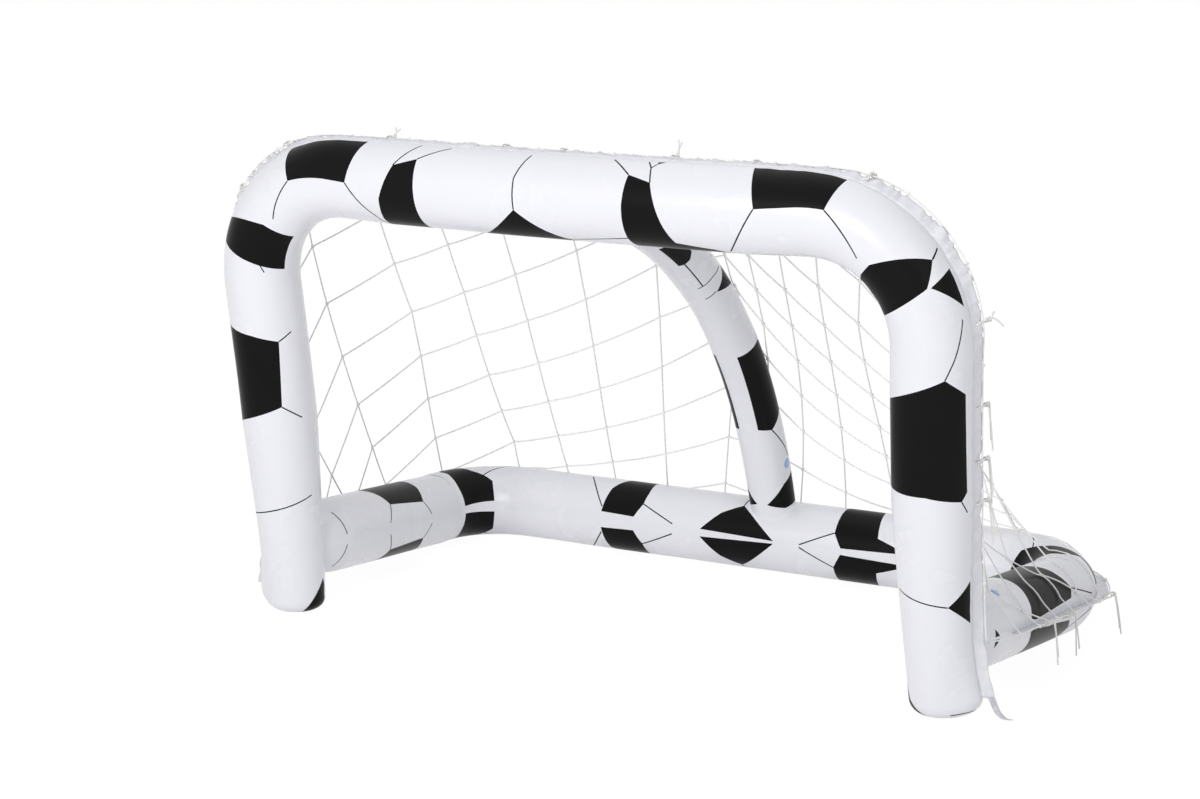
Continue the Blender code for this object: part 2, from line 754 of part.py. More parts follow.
def web_of_cords(bm, half):
    """Turn every edge of an open mesh into a four-sided cord, joined at the knots."""
    web = bmesh.new()
    top = {}
    bottom = {}
    outer = {}
    for vert in bm.verts:
        top[vert] = web.verts.new(vert.co + vert.normal * half)
        bottom[vert] = web.verts.new(vert.co - vert.normal * half)
    rim_next = {}
    rim_before = {}
    for face in bm.faces:
        for loop in face.loops:
            if len(loop.edge.link_faces) == 1:
                rim_next[loop.vert] = loop.link_loop_next.vert
                rim_before[loop.link_loop_next.vert] = loop.vert
    for vert, after in rim_next.items():
        offset = inward(vert.normal, rim_before[vert].co, vert.co, after.co, half)
        outer[vert] = web.verts.new(vert.co - offset)
    for face in bm.faces:
        inner = {}
        for loop in face.loops:
            before = loop.link_loop_prev.vert.co
            after = loop.link_loop_next.vert.co
            offset = inward(loop.vert.normal, before, loop.vert.co, after, half)
            inner[loop.vert] = web.verts.new(loop.vert.co + offset)
        for loop in face.loops:
            a = loop.vert
            b = loop.link_loop_next.vert
            web.faces.new((top[a], top[b], inner[b], inner[a]))
            web.faces.new((bottom[b], bottom[a], inner[a], inner[b]))
            if len(loop.edge.link_faces) == 1:
                web.faces.new((top[b], top[a], outer[a], outer[b]))
                web.faces.new((bottom[a], bottom[b], outer[b], outer[a]))
    bmesh.ops.recalc_face_normals(web, faces=web.faces)
    return web


def merge_short_cords(bm):
    """Draw the ends of every cord shorter than the least length into one knot, on the outline."""
    while True:
        short = [edge for edge in bm.edges if edge.calc_length() < LEAST_CORD]
        if not short:
            return
        verts = sorted(short[0].verts, key=lambda vert: not on_outline(vert.co))
        bmesh.ops.pointmerge(bm, verts=verts, merge_co=verts[0].co.copy())


def on_outline(place):
    """True where a flat point lies on the sheet's outline."""
    outline = sheet_outline()
    for near, far in zip(outline, outline[1:] + outline[:1]):
        along = Vector((far[0] - near[0], far[1] - near[1])).normalized()
        offset = Vector((place.x - near[0], place.y - near[1]))
        if abs(along.x * offset.y - along.y * offset.x) < CLEARANCE:
            return True
    return False


def net():
    """The net in four panels that meet along columns of knots; gives the knots on its rim."""
    net_cord = material("net_cord", (0.86, 0.85, 0.8), 0.8)
    rim = {"arch": [], "ground": []}
    net_panel("net_side_left", -MESH_LEFT_COLUMNS, -SIDE_PANEL_COLUMN, net_cord, rim)
    net_panel("net_back_left", -SIDE_PANEL_COLUMN, 0, net_cord, rim)
    net_panel("net_back_right", 0, SIDE_PANEL_COLUMN, net_cord, rim)
    net_panel("net_side_right", SIDE_PANEL_COLUMN, MESH_RIGHT_COLUMNS, net_cord, rim)
    return rim


def valve_frame(station, turn):
    """Matrix of a valve on a tube: origin on the tube's round, Z outward, X along the tube."""
    centre, out, across, radius = station
    normal = out * math.cos(turn) + across * math.sin(turn)
    along = out.cross(across).normalized()
    side = normal.cross(along)
    turned_axes = Matrix((along, side, normal)).transposed().to_4x4()
    return Matrix.Translation(centre + normal * radius) @ turned_axes


def small_box(name, low, high, place, look):
    """Box in a valve's own axes."""
    made = box(name, low, high)
    made.matrix_local = place
    if look is not None:
        made.data.materials.append(look)
    return made


def join(target, addition):
    """Unite a guide with a piece."""
    made = target.modifiers.new("join_" + addition.name, "BOOLEAN")
    made.operation = "UNION"
    made.solver = "EXACT"
    made.object = addition


def valve(label, chamber, air, station, turn, look):
    """Welded flange, pull-out stem and hinged cap of one chamber's valve."""
    place = valve_frame(station, turn)
    seat = -(FLANGE_RADIUS ** 2 / (2 * station[3]) + SEAT_SPARE)
    collar_top = CLEARANCE
    stem_rim = collar_top + CLEARANCE
    stem_top = stem_rim + STEM_RIM_THICKNESS
    stem_end = seat - STEM_LENGTH
    pocket = STEM_RADIUS + STEM_FOOT + POCKET_SPARE
    above = STEM_LENGTH
    space = [
        (0, above), (FLANGE_RADIUS + CLEARANCE, above), (FLANGE_RADIUS + CLEARANCE, seat),
        (pocket, seat), (pocket, stem_end - POCKET_SPARE), (0, stem_end - POCKET_SPARE)]
    cut(chamber, guide(turned(label + "_valve_space", space, place, None, VALVE_SIDES)))
    pad = FLANGE_RADIUS + CLEARANCE + FILM_THICKNESS
    under_seat = seat - FILM_THICKNESS
    film = [(0, above), (pad, above), (pad, under_seat), (0, under_seat)]
    cut(air, guide(turned(label + "_valve_film", film, place, None, VALVE_SIDES)))

    bore = STEM_RADIUS + CLEARANCE
    low = seat + CLEARANCE
    plate_top = low + FLANGE_THICKNESS
    collar = [
        (bore, low), (FLANGE_RADIUS, low), (FLANGE_RADIUS, plate_top), (bore + FLANGE_LIP, plate_top),
        (bore + FLANGE_LIP / 2, collar_top), (bore, collar_top)]
    turned(label + "_valve_flange", collar, place, look, VALVE_SIDES)

    foot = STEM_RADIUS + STEM_FOOT
    rim = STEM_RADIUS + STEM_RIM
    foot_top = stem_end + STEM_FOOT
    stem_profile = [
        (STEM_BORE, stem_end), (foot, stem_end), (foot, foot_top), (STEM_RADIUS, foot_top),
        (STEM_RADIUS, stem_rim), (rim, stem_rim), (rim, stem_top), (STEM_BORE, stem_top)]
    stem = turned(label + "_valve_stem", stem_profile, place, look, VALVE_SIDES)

    under = stem_top + CLEARANCE
    top = under + CAP_THICKNESS
    cap_profile = [
        (0, top), (CAP_RADIUS, top), (CAP_RADIUS, under), (PEG_RADIUS, under),
        (PEG_TIP_RADIUS, under - PEG_LENGTH), (0, under - PEG_LENGTH)]
    cap = turned(label + "_valve_cap", cap_profile, place, look, VALVE_SIDES)
    hinge_x = -(CAP_RADIUS + KNUCKLE_OFFSET)
    hinge_z = (under + top) / 2
    tab_low = (hinge_x, -KNUCKLE_LENGTH / 2, hinge_z - KNUCKLE_RADIUS / 2)
    tab_high = (-CAP_RADIUS * 0.9, KNUCKLE_LENGTH / 2, hinge_z + KNUCKLE_RADIUS / 2)
    join(cap, guide(small_box(label + "_cap_tab", tab_low, tab_high, place, None)))
    knuckle = [
        (0, -KNUCKLE_LENGTH / 2), (KNUCKLE_RADIUS, -KNUCKLE_LENGTH / 2),
        (KNUCKLE_RADIUS, KNUCKLE_LENGTH / 2), (0, KNUCKLE_LENGTH / 2)]
    across = place @ Matrix.Translation((hinge_x, 0, hinge_z)) @ Matrix.Rotation(math.pi / 2, 4, "X")
    join(cap, guide(turned(label + "_cap_knuckle", knuckle, across, None, 8)))
    near = KNUCKLE_LENGTH / 2 + CLEARANCE
    for name, side in (("left", -1), ("right", 1)):
        ends = sorted((side * near, side * (near + EAR_THICKNESS)))
        ear_low = (hinge_x - KNUCKLE_RADIUS, ends[0], stem_rim + STEM_RIM_THICKNESS / 2)
        ear_high = (hinge_x + KNUCKLE_RADIUS, ends[1], top)
        join(stem, guide(small_box(f"{label}_stem_ear_{name}", ear_low, ear_high, place, None)))


def valves(arch, ground, strut):
    """One valve for each chamber."""
    look = material("valve_vinyl", (0.62, 0.72, 0.88), 0.3)
    arch_place = arch_station(ARCH_LENGTH - ARCH_VALVE_HEIGHT)
    valve("arch", *arch, arch_place, ARCH_VALVE_TURN, look)
    ground_place = ground_station(GROUND_LENGTH - GROUND_VALVE_LENGTH)
    valve("ground", *ground, ground_place, GROUND_VALVE_TURN, look)
    valve("strut", *strut, strut_station(STRUT_VALVE_SHARE), STRUT_VALVE_TURN, look)


def stand_on_origin():
    """Move the goal so that the middle of its footprint is over the world origin."""
    graph = bpy.context.evaluated_depsgraph_get()
    places = []
    for made in bpy.data.objects:
        if made.type in ("MESH", "CURVE") and not made.hide_render:
            shown = made.evaluated_get(graph)
            places += [made.matrix_world @ vert.co for vert in shown.to_mesh().vertices]
            shown.to_mesh_clear()
    middle = [(min(p[k] for p in places) + max(p[k] for p in places)) / 2 for k in range(2)]
    root.location = (-middle[0], -middle[1], 0)


def main():
    """Build the whole goal and stand it on the origin."""
    global root
    for old in list(bpy.data.objects):
        bpy.data.objects.remove(old, do_unlink=True)
    root = bpy.data.objects.new("goal", None)
    bpy.context.scene.collection.objects.link(root)
    arch, ground, strut = chambers()
    valves(arch, ground, strut)
    seam_work(net())
    stand_on_origin()


main()
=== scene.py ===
"""Looks of the inflatable soccer goal: printed vinyl skins, seam strips, net, ties and valves.

Metres, +Z up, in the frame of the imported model. The mouth of the goal faces -Y. Lengths along the
arch and the ground frame start at their left front end, lengths along the strut start at the
crossbar, and angles in degrees go round a tube from its outer seam.
"""

import json
from math import copysign, cos, exp, hypot, pi, radians, sin, sqrt, tan

import bmesh
import bpy
import numpy as np
from mathutils import Matrix, Vector, noise


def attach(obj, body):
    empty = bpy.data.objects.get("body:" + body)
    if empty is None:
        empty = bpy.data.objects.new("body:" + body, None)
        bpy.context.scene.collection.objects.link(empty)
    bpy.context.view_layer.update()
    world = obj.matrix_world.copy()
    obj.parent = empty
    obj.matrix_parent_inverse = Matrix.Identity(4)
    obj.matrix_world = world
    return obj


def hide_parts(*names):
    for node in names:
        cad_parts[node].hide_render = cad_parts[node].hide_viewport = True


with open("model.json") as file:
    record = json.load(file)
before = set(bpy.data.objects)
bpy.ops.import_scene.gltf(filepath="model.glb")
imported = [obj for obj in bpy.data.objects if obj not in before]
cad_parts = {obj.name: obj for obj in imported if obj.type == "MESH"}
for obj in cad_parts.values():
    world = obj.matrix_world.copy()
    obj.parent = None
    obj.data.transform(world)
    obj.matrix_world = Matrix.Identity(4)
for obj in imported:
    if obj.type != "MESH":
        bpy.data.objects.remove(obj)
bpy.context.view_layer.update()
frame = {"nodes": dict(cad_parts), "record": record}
MOUNTS = {mount["name"]: Vector(mount["pos_m"]) for mount in frame["record"]["mounts"]}
RIGHT_FOOT = MOUNTS["right_post_foot"]
FEET_MIDDLE = (MOUNTS["left_post_foot"] + RIGHT_FOOT) / 2
BODY = "goal_frame"
NOISE_SEED = 4
noise.seed_set(NOISE_SEED)

# Camera, from the middle between the feet
CAMERA_PLACE = Vector((3.2224, -6.0477, 2.1832))
CAMERA_TURN = 28.05
CAMERA_DIP = 12.315
CAMERA_LENS = 82.1
SENSOR_WIDTH = 36

# Chambers, as in the model
GOAL_WIDTH = 2.13
GOAL_HEIGHT = 1.345
GOAL_DEPTH = 0.975
BACK_SPAN = 1.952
LEAN = radians(7.5)
POST_RADIUS = 0.101
BAR_RADIUS = 0.1075
FOOT_RADIUS = 0.079
FOOT_TAPER = 0.55
FOOT_EDGE = 0.034
BAR_SWELL_SPAN = 0.3
ARCH_CORNER = 0.316
BAR_SAG = 0.011
POST_BOW = 0.014
FOOT_TUCK = 0.012
GROUND_RADIUS = 0.104
GROUND_CORNER = 0.218
SIDE_RAISE = 0.082
GROUND_FLAT = 0.0015
SIDE_START = 0.015
SIDE_DOME = 0.15
SIDE_TIP_SHARE = 0.45
STRUT_RADIUS = 0.066
STRUT_BULGE = 0.27
STRUT_FOOT_X = 0.062
STRUT_LENGTH = 1.72

# Skins: mesh steps, seams and puckers. Lengths in metres, widths round a tube in degrees.
SKIN_STEP = 0.01
SKIN_SIDES = 72
FOOT_RINGS = 7
ARCH_INNER_SEAM = 203
GROUND_INNER_SEAM = 176
STRUT_INNER_SEAM = 180
SEAM_DIP = 0.0016
SEAM_DIP_WIDTH = 3.5
PUCKER_DEPTH = 0.0016
PUCKER_LENGTH = 0.03
PUCKER_WIDTH = 15
BEND_PUCKER_DEPTH = 0.0022
BEND_PUCKER_LENGTH = 0.055
BEND_PUCKER_WIDTH = 45
SKIN_WAVE = 0.0012
SKIN_WAVE_LENGTH = 0.22
INNER_SEAM_SHARE = 0.6
LINE_WIDTH = 0.0036
CUT_MERGE = 1e-6
SEAM_MERGE = 1e-5

# Seam strips. The net folds the arch's back, flat over the crossbar and least in its corners.
STRIP_WIDTH = 0.03
STRIP_FOOT = 0.055
STRIP_SIDE_START = 0.17
STRIP_THICKNESS = 0.0007
STRIP_STEP = 0.005
STRIP_ROWS = 8
STRIP_WAVE = 0.0065
STRIP_WAVE_LENGTH = 0.045
STRIP_RIPPLE = 0.0026
STRIP_RIPPLE_LENGTH = 0.016
STRIP_RIPPLE_ACROSS = 1.5
STRIP_WAVE_POWER = 0.8
STRIP_EDGE_WAVE = 0.0035
STRIP_REST = 0.0008
STRIP_ROOT = 0.003
PLEAT_DEPTH = 0.007
PLEAT_LENGTH = 0.025
PLEAT_DRIFT = 1.5
POST_LEAN = 78
POST_CURL = -12
BAR_LEAN = 92
BAR_CURL = 20
CORNER_OPEN = 38
GROUND_CURL = 22
FOOT_OPEN = 52
FOOT_OPEN_HEIGHT = 0.5
EAR_OUT = 0.026
EAR_PEAK = 0.055
EAR_HEIGHT = 0.26
EAR_SPREAD = 30
HOLE_RADIUS = 0.004
HOLE_EDGE = 0.012
HOLE_SIDES = 10

# Ribbon at the strip's right end: shares of the strip's width, then places from the foot's middle
RIBBON_START = (0.5, 0.75)
RIBBON_PLACES = (
    (0.116, 0.04, 0.034), (0.118, 0.058, 0.008), (0.134, 0.038, 0.002), (0.158, 0.01, 0.003),
    (0.184, -0.008, 0.01),
)
RIBBON_SIDE = Vector((0.7, 0.7, 0.1))
RIBBON_WIDTH = 0.018
RIBBON_TIP_WIDTH = 0.006
RIBBON_COLUMNS = (-1, -0.3, 0.3, 1)
RIBBON_ROUNDS = 3
CORNER_CUT = 0.25

# Net on the model's surface, with round cords. Its slack right part is pulled inwards.
NET_CORD_RADIUS = 0.002
NET_EDGE_GAP = 0.004
NET_BAR_GAP = 0.009
NET_SPAN = 4.15
NET_DROP = 1.8
NET_SIDE_SHARE = 0.28
NET_SIDE_REACH = 0.8
NET_RIDGE_HEIGHT = 0.25
NET_RIDGE_SPREAD = 0.42
NET_RIDGE_PLACE = 0.04
NET_REST = 0.0008
NET_PULL = Vector((-0.17, -0.1, -0.02))
NET_PULL_SHARE = 0.8
NET_PULL_SPREAD = 0.13

# Net lattice on the flat sheet: columns count from the strut, rows from the crossbar. Each side has
# the columns' step, its change by row and by column, and the rows' fall with the same two changes.
MESH_MIDDLE = 0.325
MESH_DRIFT = 0.084
MESH_DRIFT_GROWTH = -0.002
MESH_TOP = 0.15
MESH_DROP = 0.264
MESH_DROP_GROWTH = -0.0065
MESH_LEFT = (0.2875, -0.0066, -0.0106, 0.098, -0.0072, -0.0027)
MESH_RIGHT = (0.05, 0.0081, 0.0121, 0.151, -0.0147, -0.0046)
MESH_LEFT_SEEN = 6
MESH_LEFT_BEYOND = 0.24
MESH_LEFT_COLUMNS = 10
MESH_RIGHT_COLUMNS = 11
MESH_FIRST_ROW = -8
MESH_LAST_ROW = 10
LEAST_CORD = 0.035
CORD_STEP = 0.018
SLACK_LEFT = 0.012
SLACK_RIGHT = 0.022
SLACK_BORDER = 0.15
CLEAR_STEP = 0.04
CLEAR_ROUNDS = 4
KNOT_RADIUS = 0.0027
KNOT_SIDES = 10
KNOT_CORD_SIDES = 6
KNOT_CORD_SHARE = 1.05
PLAIN_CROSSING = 0.3
LEAST_CROSSING = 0.1

# Ties: sizes, then their limp tails. A tail's lift is 1 where it stands up and below 0 where it hangs.
TIE_RADIUS = 0.002
TIE_LOOP_REACH = 0.014
TIE_KNOT_TURN = 0.0046
TIE_WRAPS = 9
TIE_WRAP_SIDES = 6
TIE_WRAP_PITCH = 0.3
TIE_END_REACH = 2.4
TIE_STEPS = 5
TIE_TAIL = 0.075
SHORT_TAIL = 0.55
SECOND_TAIL = 0.85
TAIL_STEPS = 5
TAIL_OUT = 0.3
TAIL_APART = 0.2
TAIL_SWAY = 0.25
SWAY_TIE_STEP = 3.7
SWAY_TAIL_STEP = 5.3
TAIL_DROOP = 0.5
TAIL_HANG = -1.2
TAIL_LIFTS = {"arch_tie_06": 0.5, "arch_tie_09": 1.1, "arch_tie_12": 0.15}
TIE_COUNTS = {"arch": 15, "ground": 12}

# Valves
FLANGE_RADIUS = 0.016
FLANGE_THICKNESS = 0.0012
SEAT_SPARE = 0.0015
STEM_RADIUS = 0.0095
STEM_BORE = 0.0046
STEM_LENGTH = 0.014
STEM_RIM = 0.001
STEM_RIM_THICKNESS = 0.0008
STEM_FOOT = 0.0006
CAP_RADIUS = 0.0085
CAP_THICKNESS = 0.0014
PEG_RADIUS = 0.0036
PEG_TIP_RADIUS = 0.0028
PEG_LENGTH = 0.005
KNUCKLE_OFFSET = 0.0018
KNUCKLE_RADIUS = 0.0007
KNUCKLE_LENGTH = 0.005
EAR_THICKNESS = 0.001
CLEARANCE = 0.0003
VALVE_SIDES = 48
VALVE_EDGE = 0.00015
VALVE_HOLE = 0.0115
VALVE_HOLE_SIDES = 24
KNUCKLE_SIDES = 16
VALVE_CALM = 0.03
ARCH_VALVE_HEIGHT = 0.56
GROUND_VALVE_LENGTH = 0.185
STRUT_VALVE_SHARE = 0.87
ARCH_VALVE_TURN = 90
GROUND_VALVE_TURN = 64
STRUT_VALVE_TURN = 90

# Gloss, light and ground
GLOSS_WAVE = 0.01
SKY_LEVEL = 0.42
FLOOR_GLOW = 0.93
GLOW_LEVEL = 1.04
FLOOR_SIZE = 60
FLOOR_DROP = 0.0005
LAMP_TARGET = Vector((0, 0, 0.6))
LAMPS = (  # name, place, size and power
    ("key", (-0.4, -6.0, 2.9), 2.8, 163),
    ("fill", (4.6, -2.6, 2.6), 3.0, 34),
    ("top", (0.0, 0.8, 4.6), 3.6, 31),
)

# Lengths and levels that follow from the sizes above
ARCH_HALF = GOAL_WIDTH / 2 - POST_RADIUS
BAR_HEIGHT = GOAL_HEIGHT - BAR_RADIUS + BAR_SAG / 2
POST_RUN = BAR_HEIGHT - ARCH_CORNER
ARCH_TURN = ARCH_CORNER * pi / 2
ARCH_LENGTH = 2 * POST_RUN + 2 * ARCH_TURN + 2 * (ARCH_HALF - ARCH_CORNER)
ARCH_NORMAL = Vector((0, cos(LEAN), sin(LEAN)))
ARCH_UP = Vector((0, -tan(LEAN), 1))
GROUND_HALF_FRONT = ARCH_HALF - FOOT_TUCK
GROUND_HALF_BACK = BACK_SPAN / 2
GROUND_LEVEL = GROUND_RADIUS - GROUND_FLAT
SIDE_RUN = GOAL_DEPTH - GROUND_CORNER - SIDE_START
GROUND_TURN = GROUND_CORNER * pi / 2
GROUND_LENGTH = 2 * SIDE_RUN + 2 * GROUND_TURN + 2 * (GROUND_HALF_BACK - GROUND_CORNER)
NET_HALF = NET_SPAN * (0.5 - NET_SIDE_SHARE)
NET_TIP = NET_HALF + NET_SIDE_REACH
SHEET = [(-NET_HALF, 0), (NET_HALF, 0), (NET_TIP, NET_DROP / 2)]
SHEET += [(-x, NET_DROP - y) for x, y in SHEET]
STEM_HOLE = STEM_RADIUS + CLEARANCE
STEM_OUTER = STEM_RADIUS + STEM_RIM
RIM_LEVEL = 2 * CLEARANCE
STEM_TOP = RIM_LEVEL + STEM_RIM_THICKNESS
CAP_UNDER = STEM_TOP + CLEARANCE
CAP_TOP = CAP_UNDER + CAP_THICKNESS
HINGE_PLACE = -(CAP_RADIUS + KNUCKLE_OFFSET)
HINGE_LEVEL = (CAP_UNDER + CAP_TOP) / 2


def arch_flat(length):
    """Place (x, height) and outward direction at a length of the arch."""
    if length > ARCH_LENGTH / 2:
        x, height, out_x, out_h = arch_flat(ARCH_LENGTH - length)
        return -x, height, -out_x, out_h
    if length <= POST_RUN:
        return -ARCH_HALF, length, -1.0, 0.0
    if length <= POST_RUN + ARCH_TURN:
        angle = pi - (length - POST_RUN) / ARCH_CORNER
        out_x, out_h = cos(angle), sin(angle)
        return -ARCH_HALF + ARCH_CORNER * (1 + out_x), POST_RUN + ARCH_CORNER * out_h, out_x, out_h
    return -ARCH_HALF + ARCH_CORNER + (length - POST_RUN - ARCH_TURN), BAR_HEIGHT, 0.0, 1.0


def arch_radius(x, height):
    """Radius of the arch's tube: fuller in the crossbar, narrower towards the feet."""
    swell = min(1.0, max(0.0, (ARCH_HALF - ARCH_CORNER / 2 - abs(x)) / BAR_SWELL_SPAN))
    if height < POST_RUN:
        swell = 0.0
    taper = min(1.0, max(0.0, 1 - height / FOOT_TAPER))
    radius = POST_RADIUS + (BAR_RADIUS - POST_RADIUS) * swell - (POST_RADIUS - FOOT_RADIUS) * taper
    if height < FOOT_EDGE:
        radius -= FOOT_EDGE * (1 - sqrt(1 - (1 - height / FOOT_EDGE) ** 2))
    return radius


def arch_station(length):
    """Centre, outward, across and radius of the arch at a length."""
    x, height, out_x, out_h = arch_flat(length)
    share = height / BAR_HEIGHT
    inward = POST_BOW * sin(pi * share) + FOOT_TUCK * (1 - share)
    x -= copysign(inward, x) * abs(out_x)
    height -= BAR_SAG * cos(pi * x / GOAL_WIDTH) * out_h
    centre = FEET_MIDDLE + Vector((x, 0, 0)) + ARCH_UP * height
    out = (Vector((out_x, 0, 0)) + ARCH_UP * out_h).normalized()
    level = min(1.0, height / FOOT_TAPER)
    across = Vector((0, 1, 0)).lerp(ARCH_NORMAL, level).normalized()
    return centre, out, across, arch_radius(x, height)


def ground_station(length):
    """Centre, outward, across and radius of the ground frame at a length."""
    if length > GROUND_LENGTH / 2:
        centre, out, across, radius = ground_station(GROUND_LENGTH - length)
        flip = Vector((-1, 1, 1))
        return (centre - FEET_MIDDLE) * flip + FEET_MIDDLE, out * flip, across * flip, radius
    across = Vector((0, 0, 1))
    if length <= SIDE_RUN:
        share = length / SIDE_RUN
        half = GROUND_HALF_FRONT + (GROUND_HALF_BACK - GROUND_HALF_FRONT) * share
        centre = Vector((-half, SIDE_START + length, GROUND_LEVEL + SIDE_RAISE * (1 - share)))
        out = Vector((-1, 0, 0))
        across = Vector((0, SIDE_RAISE / SIDE_RUN, 1)).normalized()
    elif length <= SIDE_RUN + GROUND_TURN:
        angle = pi - (length - SIDE_RUN) / GROUND_CORNER
        out = Vector((cos(angle), sin(angle), 0))
        middle = Vector((-GROUND_HALF_BACK + GROUND_CORNER, GOAL_DEPTH - GROUND_CORNER, GROUND_LEVEL))
        centre = middle + out * GROUND_CORNER
    else:
        x = -GROUND_HALF_BACK + GROUND_CORNER + (length - SIDE_RUN - GROUND_TURN)
        centre = Vector((x, GOAL_DEPTH, GROUND_LEVEL))
        out = Vector((0, 1, 0))
    dome = min(1.0, length / SIDE_DOME)
    radius = GROUND_RADIUS * (SIDE_TIP_SHARE + (1 - SIDE_TIP_SHARE) * sqrt(1 - (1 - dome) ** 2))
    return FEET_MIDDLE + centre, out, across, radius


def strut_station(length):
    """Centre, outward, across and radius of the strut at a length."""
    share = length / STRUT_LENGTH
    top = FEET_MIDDLE + ARCH_UP * (BAR_HEIGHT - BAR_SAG)
    foot = FEET_MIDDLE + Vector((STRUT_FOOT_X, GOAL_DEPTH, GROUND_LEVEL))
    chord = foot - top
    away = Vector((0, -chord.z, chord.y)).normalized()
    centre = top + chord * share + away * (4 * share * (1 - share) * STRUT_BULGE)
    along = (chord + away * (4 * (1 - 2 * share) * STRUT_BULGE)).normalized()
    across = along.cross(away).normalized()
    out = across.cross(along).normalized()
    return centre, out, across, STRUT_RADIUS


def put(node, **values):
    """Set a shader node's inputs."""
    for name, value in values.items():
        node.inputs[name].default_value = value


def shader(name, colour, roughness):
    """New material with its main shader, nodes and links."""
    made = bpy.data.materials.new(name)
    made.use_nodes = True
    nodes = made.node_tree.nodes
    principled = nodes["Principled BSDF"]
    put(principled, **{"Base Color": (*colour, 1)}, Roughness=roughness)
    return made, principled, nodes, made.node_tree.links


def ear(height):
    """How far the weld of a post's foot stands out of the round tube."""
    if height < EAR_PEAK:
        return EAR_OUT * sin(pi / 2 * height / EAR_PEAK)
    return EAR_OUT * max(0.0, (EAR_HEIGHT - height) / (EAR_HEIGHT - EAR_PEAK)) ** 2


def fold(label, station, reach):
    """Place, direction and normal of a seam strip at a reach from the seam."""
    centre, out, across, radius = station
    lean, curl = 0, GROUND_CURL
    if label == "arch":
        rise = max(0.0, min(1.0, out.z))
        corner = 2 * rise * sqrt(1 - rise * rise)
        lean = POST_LEAN + (BAR_LEAN - POST_LEAN) * rise ** 2 - CORNER_OPEN * corner
        lean -= FOOT_OPEN * max(0.0, 1 - centre.z / FOOT_OPEN_HEIGHT)
        radius += ear(centre.z)
        curl = POST_CURL + (BAR_CURL - POST_CURL) * rise ** 2
    share = reach / STRIP_WIDTH
    middle = radians(lean + curl * share / 2)
    tip = radians(lean + curl * share)
    place = centre + out * (radius + cos(middle) * reach) + across * (sin(middle) * reach)
    way = out * cos(tip) + across * sin(tip)
    face = across * cos(tip) - out * sin(tip)
    return place, way, face


def off_tube(station, place, spare):
    """Place, moved out of the tube where it is nearer than a gap."""
    centre, out, across, radius = station
    offset = place - centre
    flat = Vector((offset.dot(out), offset.dot(across)))
    lack = radius + spare - flat.length
    if lack <= 0:
        return place
    flat.normalize()
    return place + (out * flat.x + across * flat.y) * lack


def noise_node(nodes, links, scale, detail):
    """Noise texture over the object's own coordinates."""
    place = nodes.new("ShaderNodeTexCoord")
    texture = nodes.new("ShaderNodeTexNoise")
    put(texture, Scale=scale, Detail=detail)
    links.new(place.outputs["Object"], texture.inputs["Vector"])
    return texture


def ramp_to(nodes, links, source, low, high, target):
    """Feed a socket with a colour between two, by a noise."""
    ramp = nodes.new("ShaderNodeValToRGB")
    for element, position, level in zip(ramp.color_ramp.elements, (0.25, 0.75), (low, high)):
        element.position = position
        element.color = (*level, 1)
    links.new(source.outputs["Fac"], ramp.inputs["Fac"])
    links.new(ramp.outputs["Color"], target)


def bump_from(nodes, links, source, principled, strength, distance):
    """Bump a shader by a texture's factor."""
    bump = nodes.new("ShaderNodeBump")
    put(bump, Strength=strength, Distance=distance)
    links.new(source.outputs["Fac"], bump.inputs["Height"])
    links.new(bump.outputs["Normal"], principled.inputs["Normal"])


def vinyl(name, dark, light, roughness, gloss_index):
    """Glossy film with faint waves in colour, gloss and surface."""
    made, principled, nodes, links = shader(name, light, roughness)
    tint = noise_node(nodes, links, scale=5, detail=2)
    ramp_to(nodes, links, tint, dark, light, principled.inputs["Base Color"])
    gloss = noise_node(nodes, links, scale=9, detail=2)
    smooth, dull = (roughness - GLOSS_WAVE,) * 3, (roughness + GLOSS_WAVE,) * 3
    ramp_to(nodes, links, gloss, smooth, dull, principled.inputs["Roughness"])
    ripple = noise_node(nodes, links, scale=12, detail=2)
    bump_from(nodes, links, ripple, principled, strength=0.1, distance=0.001)
    put(principled, IOR=gloss_index)
    return made


def grained_with_hollow_shade(name, colour, roughness, dark, light, scale, detail, strength, depth, alpha=1):
    """Material with a fine grain, in its colour and as a bump; the colour is darker where the bump is low,
    as painted shade in its hollows.
    """
    made, principled, nodes, links = shader(name, colour, roughness)
    put(principled, Alpha=alpha)
    # One noise drives colour and bump: the colour darkens where the bump is low, painted shade in the
    # grain's hollows.
    grain_and_hollow_shade = noise_node(nodes, links, scale, detail)
    ramp_to(nodes, links, grain_and_hollow_shade, dark, light, principled.inputs["Base Color"])
    bump_from(nodes, links, grain_and_hollow_shade, principled, strength, depth)
    return made


def twine(name, dark, light):
    """Twisted cord: off-white, with painted shade darkening the grooves between its strands."""
    return grained_with_hollow_shade(name, light, 0.85, dark, light, scale=900, detail=4, strength=0.3, depth=0.0006)


WHITE = vinyl("white_vinyl", (0.865, 0.865, 0.905), (0.875, 0.875, 0.912), 0.27, 1.45)
BLACK = vinyl("black_print", (0.008, 0.008, 0.0085), (0.01, 0.01, 0.0105), 0.3, 1.13)
# The strip's film is darker and bluer in the hollows of its crinkle bump: painted shade of its wrinkles.
STRIP = grained_with_hollow_shade(
    "strip_film", (0.88, 0.88, 0.93), roughness=0.26, dark=(0.82, 0.82, 0.88), light=(0.92, 0.92, 0.95),
    scale=38, detail=4, strength=0.35, depth=0.004, alpha=0.86)
CORD = twine("net_twine", (0.92, 0.915, 0.89), (0.97, 0.965, 0.95))
TIE = twine("tie_twine", (0.8, 0.79, 0.74), (0.94, 0.93, 0.89))
